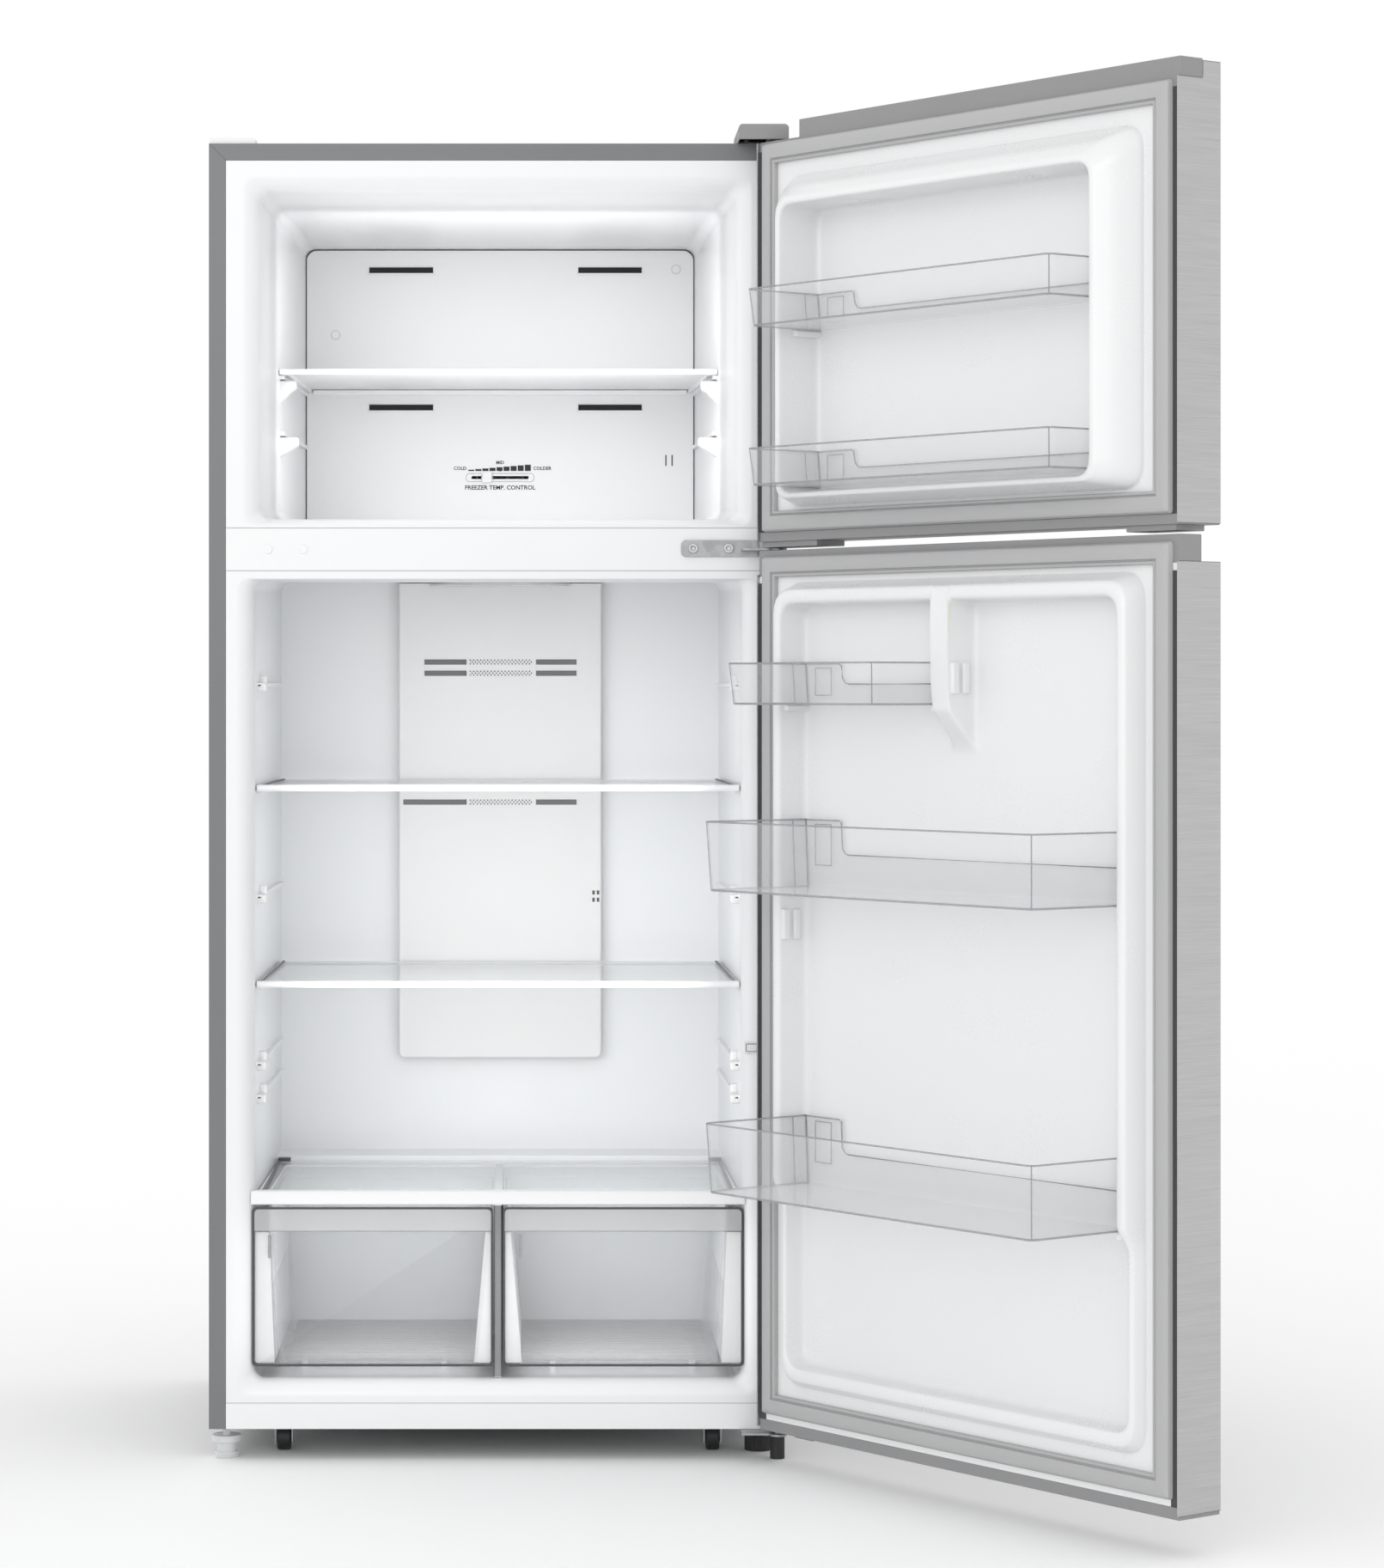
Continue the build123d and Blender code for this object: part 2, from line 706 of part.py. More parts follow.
def make_freezer_shelf():
    front, back = freezer_shelf_front, freezer_shelf_back
    halves = [freezer_half(d) - side_clearance for d in (front, back)]
    top, low = freezer_shelf_top, freezer_shelf_top - freezer_shelf_lip
    deck = plan_plate(front, back, *halves, top - 3, top)
    lip = plan_plate(front, front + 6, halves[0], freezer_half(front + 6) - side_clearance, low, top)
    back_lip = plan_plate(back - 4, back, freezer_half(back - 4) - side_clearance, halves[1], low, top)
    runners = plan_plate(front, back, *halves, low, top)
    runners -= plan_plate(front - 1, back + 1, halves[0] - 10, halves[1] - 10, low - 1, top + 1)
    return joined([deck, lip, back_lip, runners])


def cover_half(depth):
    return fridge_half(depth) - side_clearance - 1


def make_cover_glass():
    front, back = cover_front_depth + 18, cover_back_depth
    z_high = cover_top - 5
    return plan_plate(front, back, cover_half(front) - 4, cover_half(back) - 4, z_high - glass, z_high)


def make_cover_frame():
    """The crisper cover's white front bar, side rails and back rail, with the centre divider."""
    low = cover_top - cover_trim_height
    front, back = cover_front_depth, cover_back_depth
    ends = [mouth_half(depth) - side_clearance - 1.2 for depth in (front, front + 14)]
    bar = plan_plate(front, front + 14, *ends, low, cover_top)
    bar = fillet(bar.edges().filter_by(Axis.X).group_by(Axis.Y)[0], 3)
    seat = cover_rail_high - glass
    side = front + 13
    rails = plan_plate(side, back, ends[1], cover_half(back), cover_rail_low, cover_rail_high)
    rails -= plan_plate(side + 11, back - 10, cover_half(side + 11) - 12, cover_half(back) - 12,
                        seat - 5, cover_rail_high + 1)
    rails -= make_cover_glass()
    half = divider_width / 2
    divider = block(-half, half, crisper_front_depth + 6, back - 8, fridge_floor + 0.4, low)
    hanger = block(-half, half, front + 2, back - 4, low - 1, seat)
    return joined([bar, rails, divider, hanger])


def make_crisper(side):
    """One clear crisper: a wide front panel and a tub whose sides slope inwards to the floor."""
    inner, outer = divider_width / 2 + 1.5, fridge_neck + 2.5
    high = cover_top - cover_trim_height - 3
    depth = crisper_front_depth
    edges = sorted((side * inner, side * outer))
    front = block(*edges, depth, depth + 4, crisper_low, high)
    front = fillet(front.edges().filter_by(Axis.Y), 5)
    tub_in, tub_out = inner + 2, fridge_half(depth + crisper_length) - rib_reach - 2

    def tub(shrink, z_low, z_high):
        faces = []
        for z, slope in ((z_low, crisper_side_slope), (z_high, 0)):
            limits = sorted((side * (tub_in + slope + shrink), side * (tub_out - slope - shrink)))
            faces.append(lying_face(z, *limits, depth + 4 + shrink, depth + crisper_length - shrink, 8))
        return loft(faces, ruled=True)

    body = tub(0, crisper_low + 1, high - crisper_lift)
    body += block(*sorted((side * (tub_in + 20), side * (tub_out - 20))), depth + 3, depth + 20,
                  crisper_low + 1, crisper_low + 4)
    body -= tub(crisper_wall, crisper_low + 1 + crisper_wall, high + 40)
    return front + body


# ---- doors ---------------------------------------------------------------------------------
class Door:
    """The heights that tell the two doors apart, and how high their ridges stand."""

    def __init__(self, skin_low, skin_high, core_low, core_high, gasket_low, gasket_high):
        self.skin_low, self.skin_high = skin_low, skin_high
        self.core_low, self.core_high = core_low, core_high
        self.gasket_low, self.gasket_high = gasket_low, gasket_high


freezer_door = Door(freezer_door_bottom + 1.3, freezer_skin_top, freezer_door_bottom + cap_thickness,
                    freezer_skin_top - cap_thickness, freezer_gasket_low, freezer_gasket_high)
fridge_door = Door(fridge_skin_bottom, fridge_skin_top, fridge_door_bottom + 14,
                   fridge_skin_top - cap_thickness + 2, fridge_gasket_low, fridge_gasket_high)


def door_core(door, wall):
    """The door's filling up to the inner plane, less a wall for what is behind the liner."""
    half = half_width - sheet
    return block(-half, half, door_front + sheet, -door_gap - wall, door.core_low, door.core_high)


def freezer_door_form(wall):
    """The freezer door's inner face: a two-slope ridge around one recess."""
    low = freezer_gasket_low + gasket_width + 5
    high = freezer_gasket_high - gasket_width - 20
    half = freezer_ridge_half - wall
    shoulder, slope, foot = freezer_ridge_shoulder, freezer_ridge_slope, freezer_ridge_foot
    rise = freezer_ridge_height - wall
    low, high = low + wall, high - wall
    outside = funnel([
        (-door_gap - 12, half, low, high),
        (-4 - wall, half, low, high),
        (rise / 2, half - shoulder, low + foot / 2, high - shoulder),
        (rise, half - slope, low + foot, high - slope),
    ])
    edge = freezer_bin_edge + wall
    floor, top = low + foot + 6 - 2 * wall, high - slope - freezer_crest + 2 * wall
    recess = funnel([
        (-door_wall_depth - wall, edge - 3, floor + 2, top - 3),
        (freezer_ridge_height + 1, edge, floor, top),
    ])
    return door_core(freezer_door, wall) + outside - recess


def fridge_recess(wall, x_low, x_high, z_low, z_high):
    """One recess of the fresh food door's liner."""
    faces = []
    for depth, draft in ((-door_wall_depth - wall, 2.0), (fridge_ridge_height + 1, 0.0)):
        middle = ((x_low + x_high) / 2, front_y + depth, (z_low + z_high) / 2)
        stand = Plane(origin=middle, x_dir=(1, 0, 0), z_dir=(0, -1, 0))
        width = x_high - x_low + 2 * (wall - draft)
        height = z_high - z_low + 2 * (wall - draft)
        faces.append(stand * RectangleRounded(width, height, corner_round))
    return loft(faces, ruled=True)


def fridge_door_form(wall):
    """The fresh food door's inner face: a ridge, a short centre rib at the top and a low rim below."""
    low = fridge_gasket_low + gasket_width + 16
    high = fridge_gasket_high - gasket_width - 8
    crest = fridge_ridge_half - fridge_ridge_slope
    rise = fridge_ridge_height - wall
    start = -door_gap - 12
    upper = funnel([
        (start, fridge_ridge_half - wall, ridge_end + wall, high - wall),
        (-4 - wall, fridge_ridge_half - wall, ridge_end + wall, high - wall),
        (rise, crest - wall, ridge_end + 10 + wall, high - 10 - wall),
    ])
    lower = funnel([
        (start, fridge_ridge_half - wall, low + wall, ridge_end + 60),
        (rim_height - wall, fridge_ridge_half - 4 - wall, low + 4 + wall, ridge_end + 60),
    ])
    edge = fridge_bin_edge
    top, split = high - 26, rib_end
    form = door_core(fridge_door, wall) + upper + lower
    form -= fridge_recess(wall, -edge, edge, low + 24, split)
    half = rib_width / 2
    for x_low, x_high in ((-edge, -half), (half, edge)):
        form -= fridge_recess(wall, x_low, x_high, split - 40, top)
    return form


def bin_ledges(edge, z, depth_low, depth_high):
    """Ledges on both inner walls that a bin rests on."""
    lugs = []
    for side in (-1, 1):
        limits = sorted((side * (edge + 3), side * (edge - 8)))
        lugs.append(block(*limits, depth_low, depth_high, z - 8 - touch_gap, z - touch_gap))
    return joined(lugs)


def spare_tabs(x_wall, side, z_high, depths):
    """A pair of upright tabs on an inner wall, where a bin could be moved to."""
    tabs = [block(*sorted((x_wall - side * 6, x_wall + side * 2)), low, high, z_high - 38, z_high)
            for low, high in depths]
    return joined(tabs)


def make_freezer_door_liner():
    liner = freezer_door_form(0)
    for z in freezer_bins:
        liner += bin_ledges(freezer_bin_edge, z, -door_wall_depth - 1, freezer_ridge_height - 22)
    return liner - freezer_door_form(liner_wall)


def make_fridge_door_liner():
    liner = fridge_door_form(0)
    edge = fridge_bin_edge
    for z in fridge_bins:
        liner += bin_ledges(edge, z, -door_wall_depth - 1, fridge_ridge_height - 8)
    low, high = half_bin_low - 8 - touch_gap, half_bin_low - touch_gap
    for x_low, x_high in ((rib_width / 2 - 2, rib_width / 2 + 8), (edge - 8, edge + 3)):
        liner += block(x_low, x_high, -door_wall_depth - 1, fridge_ridge_height - 8, low, high)
    tabs = ((-12.0, -1.0), (5.0, 16.0))
    liner += spare_tabs(-rib_width / 2, 1, half_bin_low + half_bin_height, tabs)
    liner += spare_tabs(edge, 1, 704.0, tabs)
    return liner - fridge_door_form(liner_wall)


def make_door_skin(door):
    """The steel outer panel: the front and its two side returns."""
    stop = -side_return_stop
    skin = block(-half_width, half_width, door_front, stop, door.skin_low, door.skin_high)
    half = half_width - sheet
    skin -= block(-half, half, door_front + sheet, stop + 1, door.skin_low - 1, door.skin_high + 1)
    return skin


def make_freezer_skin():
    """The freezer door's skin, whose front stands up behind the top cap's crown."""
    rise = freezer_door_top - 2
    upper = block(-half_width, half_width - hinge_relief, door_front, -cap_depth, freezer_skin_top - 1, rise)
    half = half_width - sheet
    upper -= block(-half, half, door_front + sheet, 0, freezer_skin_top - 2, rise + 1)
    return make_door_skin(freezer_door) + upper


def door_plate(z_low, z_high):
    """A cap's flat body, which closes the skin at the top or the bottom."""
    half = half_width - sheet
    return block(-half, half, door_front + sheet, -door_gap, z_low, z_high)


def pin_bore(z_low, z_high):
    return upright(hinge_x, axis_depth, z_low, z_high, pin_radius + running_clearance)


def make_freezer_top_cap():
    low, high = freezer_door.core_high, freezer_skin_top
    right = half_width - hinge_relief
    cap = door_plate(low, high)
    cap += block(-half_width, right, -cap_depth, -door_gap, high, freezer_door_top)
    cap += block(-half_width + sheet, right - 2, door_front + sheet, -cap_depth, high, freezer_door_top - 4)
    return cap - pin_bore(low - 1, high + 1)


def make_freezer_bottom_cap():
    low, high = freezer_door_bottom, freezer_door.core_low
    cap = door_plate(low, high)
    half = half_width - sheet
    for x_low, x_high in ((half - 105, half), (-half + 10, -half + 88)):
        cap += block(x_low, x_high, -60, -14, low - spacer_height, low)
    return cap - pin_bore(low - spacer_height - 1, high + 1)


def make_fridge_top_cap():
    """The cap whose front is set back from the skin, which leaves a finger hold along the edge."""
    low, high = fridge_door.core_high, fridge_skin_top
    cap = door_plate(low, high)
    cap += block(-half_width, half_width, -cap_depth + 2, -door_gap, high, fridge_door_top)
    return cap - pin_bore(fridge_door_top - 16, fridge_door_top + 1)


def make_fridge_bottom_cap():
    low, high = fridge_door_bottom, fridge_door.core_low
    cap = door_plate(low, high)
    cap += block(hinge_x - 78, hinge_x - 44, -50, -20, low - 4, low)
    return cap - pin_bore(low - 5, high + 1)


def make_gasket(door):
    """The magnetic seal: a flat frame that nearly meets the cabinet's front."""
    outer = gasket_half
    ring = block(-outer, outer, -door_gap, -gasket_clearance, door.gasket_low, door.gasket_high)
    ring = fillet(ring.edges().filter_by(Axis.Y), 4)
    inner = outer - gasket_width
    return ring - block(-inner, inner, -door_gap - 1, 1, door.gasket_low + gasket_width,
                        door.gasket_high - gasket_width)


# ---- door bins -----------------------------------------------------------------------------
def make_bin(x_low, x_high, z_low, height, reach):
    """A clear bin with drafted walls and a back wall that steps down away from the hinge."""
    back = -door_wall_depth + bin_back_gap
    high = z_low + height

    def tub(shrink, z_from, z_to):
        faces = []
        for z, draft in ((z_from, bin_draft), (z_to, 0.0)):
            inset = draft + shrink
            radius = bin_front_round - shrink
            faces.append(lying_face(z, x_low + inset, x_high - inset, back + shrink - 30, reach - inset, radius))
        return loft(faces, ruled=True)

    body = tub(0, z_low, high) - tub(bin_wall, z_low + bin_wall, high + 1)
    body -= block(x_low - 1, x_high + 1, back - 40, back, z_low - 1, high + 1)
    body += block(x_low + bin_draft, x_high - bin_draft, back, back + bin_wall, z_low, high)
    step = z_low + height * 0.5
    tall = min(70, (x_high - x_low) / 3)
    body -= block(x_low + 24, x_high - tall, back - 1, back + bin_wall + 2, step, high + 1)
    return body


# ---- hinges --------------------------------------------------------------------------------
hinge_screw_places = (hinge_plate_right - hinge_plate_length + 15.2, hinge_plate_right - 38.0)
top_screw_places = ((-38.0, 28.0), (-8.0, 28.0), (-23.0, 60.0))
bottom_screw_places = ((-38.0, 12.0), (-20.0, 24.0))


def screws():
    """Every hinge screw: two in the mullion, three on top, two under the cabinet."""
    found = []
    for x in hinge_screw_places:
        head = endwise(x, -plate - head_height, -plate, hinge_middle, head_radius)
        head -= endwise(x, -plate - head_height - 1, -plate - 2, hinge_middle, head_radius / 2)
        found.append(head + endwise(x, -plate - 2, screw_length, hinge_middle, screw_radius))
    for dx, depth in top_screw_places:
        z = cabinet_top + plate
        head = upright(hinge_x + dx, depth, z, z + head_height, head_radius)
        found.append(head + upright(hinge_x + dx, depth, z - plate - screw_length, z + 1, screw_radius))
    for dx, depth in bottom_screw_places:
        z = base_height - plate
        head = upright(hinge_x + dx, depth, z - head_height, z, head_radius)
        found.append(head + upright(hinge_x + dx, depth, z - 1, base_height + screw_length, screw_radius))
    return found


def screw_holes():
    return joined(screws())


def make_top_hinge():
    """The plate on the cabinet's top, with the pin that points down into the freezer door."""
    top = block(hinge_x - 46, hinge_x + 9, 10, 72, cabinet_top, cabinet_top + plate)
    arm = block(hinge_x - 14, hinge_x + 9, axis_depth, 12, cabinet_top, cabinet_top + plate)
    nose = upright(hinge_x, axis_depth, cabinet_top, cabinet_top + plate, 9)
    pin = upright(hinge_x, axis_depth, freezer_door.core_high + 1, cabinet_top + 1, pin_radius)
    return joined([top, arm, nose, pin]) - screw_holes()


def make_top_hinge_cover():
    """The grey cover over the top hinge, open underneath."""
    low, high = cabinet_top, cabinet_top + hinge_cover_height
    outer = block(hinge_x - 50, half_width, -42, 84, low, high)
    outer = fillet(outer.edges().group_by(Axis.Z)[-1], 6)
    wall = hinge_cover_wall
    return outer - block(hinge_x - 50 + wall, half_width - wall, -42 + wall, 84 - wall, low - 1, high - wall)


def make_middle_hinge():
    """The plate on the mullion and its arm, with a pin for each door."""
    z_low, z_high = hinge_middle - hinge_plate_height / 2, hinge_middle + hinge_plate_height / 2
    left = hinge_plate_right - hinge_plate_length
    wall = block(left, hinge_plate_right, -plate, 0, z_low, z_high)
    wall = fillet(wall.edges().filter_by(Axis.Y).group_by(Axis.X)[0], hinge_plate_height * 0.3)
    arm = block(hinge_plate_right - 22, hinge_x + 8, axis_depth, 0, arm_low, arm_high)
    nose = upright(hinge_x, axis_depth, arm_low, arm_high, 10)
    up = upright(hinge_x, axis_depth, arm_low, freezer_door.core_low - 1, pin_radius)
    down = upright(hinge_x, axis_depth, fridge_door_top - 14, arm_high, pin_radius)
    return joined([wall, arm, nose, up, down]) - screw_holes()


def make_bottom_hinge():
    """The plate under the cabinet that carries the fresh food door's lower pin."""
    low, high = base_height - plate, base_height
    deck = block(hinge_x - 46, hinge_x + 9, axis_depth, 34, low, high)
    nose = upright(hinge_x, axis_depth, low, high, 11)
    pin = upright(hinge_x, axis_depth, low, fridge_door.core_low - 1, pin_radius)
    stud = upright(right_foot_x, right_foot_depth, right_foot_height - 15, low + 1, foot_stud - 1)
    return joined([deck, nose, pin, stud]) - screw_holes()


# ---- rollers and feet ----------------------------------------------------------------------
def make_roller_brackets():
    """Steel cheeks under the base pan: two around each roller."""
    parts = []
    for x, depth in ((-front_roller_x, front_roller_depth), (front_roller_x, front_roller_depth)):
        gap = roller_width / 2 + 1
        top = block(x - 27, x + 27, depth - 24, depth + 24, base_height - bracket_plate, base_height)
        cheeks = [block(*sorted((x + s * gap, x + s * (gap + bracket_plate))), depth - 9, depth + 9,
                        roller_radius - 8, base_height - 1) for s in (-1, 1)]
        axle = crosswise(x - gap - 3, x + gap + 3, depth, roller_radius, roller_axle)
        parts.append(joined([top, *cheeks, axle]))
    for x in (-rear_roller_x, rear_roller_x):
        gap = roller_width / 2 + 1
        depth = rear_roller_depth
        top = block(x - 27, x + 27, depth - 24, depth + 24, base_height - bracket_plate, base_height)
        cheeks = [block(*sorted((x + s * gap, x + s * (gap + bracket_plate))), depth - 9, depth + 9,
                        roller_radius - 8, base_height - 1) for s in (-1, 1)]
        bore = crosswise(x - gap - 9, x + gap + 9, depth, roller_radius, roller_axle + running_clearance)
        parts.append(joined([top, *cheeks]) - bore)
    return group(parts)


def make_roller(x, depth):
    """A plain roller on a fixed axle."""
    roller = crosswise(x - roller_width / 2, x + roller_width / 2, depth, roller_radius, roller_radius)
    roller = chamfer(roller.edges().filter_by(GeomType.CIRCLE), 1.5)
    return roller - crosswise(x - 20, x + 20, depth, roller_radius, roller_axle + running_clearance)


def make_rear_rollers():
    """Both rear rollers and the long axle that they share."""
    depth = rear_roller_depth
    axle = crosswise(-rear_roller_x - 16, rear_roller_x + 16, depth, roller_radius, roller_axle)
    rollers = []
    for x in (-rear_roller_x, rear_roller_x):
        wheel = crosswise(x - roller_width / 2, x + roller_width / 2, depth, roller_radius, roller_radius)
        rollers.append(chamfer(wheel.edges().filter_by(GeomType.CIRCLE), 1.5))
    return joined([axle, *rollers])


def knurled(x, depth, z_low, z_high, radius, teeth):
    """A hand wheel with grooves cut into its rim."""
    wheel = upright(x, depth, z_low, z_high, radius)
    for i in range(teeth):
        turn = Pos(x, front_y + depth, (z_low + z_high) / 2) * Rot(0, 0, 360 / teeth * i)
        wheel -= turn * Pos(radius + 0.4, 0, 0) * Cylinder(radius * 0.07, z_high - z_low + 1)
    return wheel


def make_left_foot():
    """The clear levelling foot: a wide pad, a grooved neck and a threaded stud's seat."""
    x = -half_width + left_foot_inset
    depth = left_foot_depth
    pad = upright(x, depth, 0, 8, left_foot_radius)
    neck = upright(x, depth, 7, 22, left_foot_radius - 3)
    flange = upright(x, depth, 21, 29, left_foot_radius + 4)
    stud = upright(x, depth, 28, base_height - touch_gap, foot_stud)
    return joined([pad, neck, flange, stud])


def make_right_wheel():
    wheel = knurled(wheel_x, wheel_depth, 0, wheel_height, wheel_radius, 30)
    return wheel + upright(wheel_x, wheel_depth, wheel_height - 1, base_height - touch_gap, foot_stud)


def make_right_foot():
    """The ribbed levelling foot on the bottom hinge's stud."""
    body = knurled(right_foot_x, right_foot_depth, 0, right_foot_height, right_foot_radius, 16)
    bore = foot_stud - 1 + running_clearance
    bore_low = right_foot_height - 15 - touch_gap
    return body - upright(right_foot_x, right_foot_depth, bore_low, right_foot_height + 1, bore)


def build():
    """Builds and writes every node."""
    save("cabinet_shell", make_cabinet_shell())
    save("rear_panel", make_rear_panel())
    save("base_pan", make_base_pan())
    save("cabinet_insulation", make_insulation())
    save("freezer_liner", make_freezer_liner())
    save("fresh_food_liner", make_fridge_liner())
    save("mullion_cover", make_mullion_cover())
    save("toe_panel", make_toe_panel())
    save("hole_covers", make_hole_covers())
    save("freezer_back_panel", make_freezer_back_panel())
    save("freezer_control_slider", make_control_slider())
    save("fridge_air_duct", make_air_duct())
    save("lamp_lens", make_lamp_lens())
    save("evaporator_coil", make_evaporator())
    save("evaporator_fan_motor", make_fan_motor())
    save("evaporator_fan", make_fan())
    save("compressor", make_compressor())
    save("drain_pan", make_drain_pan())
    save("condenser_coil", group([condenser_side(-1), condenser_side(1)]))
    save("compressor_cover", make_compressor_cover())
    save("cord_gland", make_cord_gland())
    save("light_switch_plunger", make_switch_plunger())

    save("upper_shelf_glass", make_shelf_glass(upper_shelf_top))
    save("upper_shelf_frame", make_shelf_frame(upper_shelf_top))
    save("lower_shelf_glass", make_shelf_glass(lower_shelf_top))
    save("lower_shelf_frame", make_shelf_frame(lower_shelf_top))
    save("freezer_shelf", make_freezer_shelf())
    save("crisper_cover_glass", make_cover_glass())
    save("crisper_cover_frame", make_cover_frame())
    save("left_crisper", make_crisper(-1))
    save("right_crisper", make_crisper(1))

    save_on_door("freezer_door_skin", make_freezer_skin())
    save_on_door("freezer_door_top_cap", make_freezer_top_cap())
    save_on_door("freezer_door_bottom_cap", make_freezer_bottom_cap())
    save_on_door("freezer_door_foam", freezer_door_form(liner_wall))
    save_on_door("freezer_door_liner", make_freezer_door_liner())
    save_on_door("freezer_door_gasket", make_gasket(freezer_door))
    save_on_door("fridge_door_skin", make_door_skin(fridge_door))
    save_on_door("fridge_door_top_cap", make_fridge_top_cap())
    save_on_door("fridge_door_bottom_cap", make_fridge_bottom_cap())
    save_on_door("fridge_door_foam", fridge_door_form(liner_wall))
    save_on_door("fridge_door_liner", make_fridge_door_liner())
    save_on_door("fridge_door_gasket", make_gasket(fridge_door))

    edge = freezer_bin_edge - bin_side_clearance
    for name, z in zip(("freezer_upper_bin", "freezer_lower_bin"), freezer_bins):
        save_on_door(name, make_bin(-edge, edge, z, freezer_bin_height, freezer_bin_reach))
    edge = fridge_bin_edge - bin_side_clearance
    for name, z in zip(("fridge_middle_bin", "fridge_bottom_bin"), fridge_bins):
        save_on_door(name, make_bin(-edge, edge, z, fridge_bin_height, fridge_bin_reach))
    half_bin = make_bin(rib_width / 2 + bin_side_clearance, edge, half_bin_low, half_bin_height, half_bin_reach)
    save_on_door("fridge_half_bin", half_bin)

    save("top_hinge", make_top_hinge())
    save("top_hinge_cover", make_top_hinge_cover())
    save("middle_hinge", make_middle_hinge())
    save("bottom_hinge", make_bottom_hinge())
    save("hinge_screws", group(screws()))
    save("roller_brackets", make_roller_brackets())
    save("front_roller_left", make_roller(-front_roller_x, front_roller_depth))
    save("front_roller_right", make_roller(front_roller_x, front_roller_depth))
    save("rear_rollers", make_rear_rollers())
    save("left_foot", make_left_foot())
    save("right_foot_wheel", make_right_wheel())
    save("right_foot", make_right_foot())


build()
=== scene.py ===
"""The looks of a top freezer refrigerator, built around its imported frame."""

import json
import logging
import math
from dataclasses import dataclass, field
from enum import Enum
from typing import Any, Iterable, Sequence

import bmesh
import bpy
from mathutils import Matrix, Vector


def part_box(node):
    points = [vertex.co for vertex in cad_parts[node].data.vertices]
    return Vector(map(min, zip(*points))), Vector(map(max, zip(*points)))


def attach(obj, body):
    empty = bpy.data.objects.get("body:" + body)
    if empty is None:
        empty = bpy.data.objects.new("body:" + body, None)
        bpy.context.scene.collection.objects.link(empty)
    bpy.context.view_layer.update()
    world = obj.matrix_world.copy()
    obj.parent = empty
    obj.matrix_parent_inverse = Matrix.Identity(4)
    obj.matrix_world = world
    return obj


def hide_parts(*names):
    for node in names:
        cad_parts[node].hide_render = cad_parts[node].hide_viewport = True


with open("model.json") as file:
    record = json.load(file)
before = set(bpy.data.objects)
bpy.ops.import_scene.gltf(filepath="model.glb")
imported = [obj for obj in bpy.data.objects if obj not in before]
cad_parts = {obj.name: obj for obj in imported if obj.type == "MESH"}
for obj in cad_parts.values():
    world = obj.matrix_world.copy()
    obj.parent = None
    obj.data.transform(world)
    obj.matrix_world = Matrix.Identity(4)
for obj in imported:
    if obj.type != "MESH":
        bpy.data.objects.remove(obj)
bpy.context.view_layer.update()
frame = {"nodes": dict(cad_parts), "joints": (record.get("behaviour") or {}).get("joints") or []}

LOG = logging.getLogger("refrigerator")
MM = 0.001
Colour = tuple[float, float, float]
Point = tuple[float, float, float]
Station = tuple[float, Sequence[tuple[float, float]]]


# ---- shader arithmetic ---------------------------------------------------------------------
class Wire:
    """A shader socket that takes part in arithmetic."""

    def __init__(self, graph: "Graph", socket: bpy.types.NodeSocket) -> None:
        """Wraps one output socket of a graph."""
        self.graph = graph
        self.socket = socket

    def math(self, operation: str, first: Any, second: Any = 0.0) -> "Wire":
        """Adds a Math node.

        Args:
            operation: The node's operation.
            first: Its first value or link.
            second: Its second value or link.

        Returns:
            The node's result.
        """
        return self.graph.add("ShaderNodeMath", {"operation": operation}, {0: first, 1: second})

    def __add__(self, other: Any) -> "Wire":
        """Returns self + other."""
        return self.math("ADD", self, other)

    def __radd__(self, other: Any) -> "Wire":
        """Returns other + self."""
        return self.math("ADD", other, self)

    def __sub__(self, other: Any) -> "Wire":
        """Returns self - other."""
        return self.math("SUBTRACT", self, other)

    def __rsub__(self, other: Any) -> "Wire":
        """Returns other - self."""
        return self.math("SUBTRACT", other, self)

    def __mul__(self, other: Any) -> "Wire":
        """Returns self * other."""
        return self.math("MULTIPLY", self, other)

    def __rmul__(self, other: Any) -> "Wire":
        """Returns other * self."""
        return self.math("MULTIPLY", other, self)

    def __pow__(self, other: Any) -> "Wire":
        """Returns self ** other."""
        return self.math("POWER", self, other)


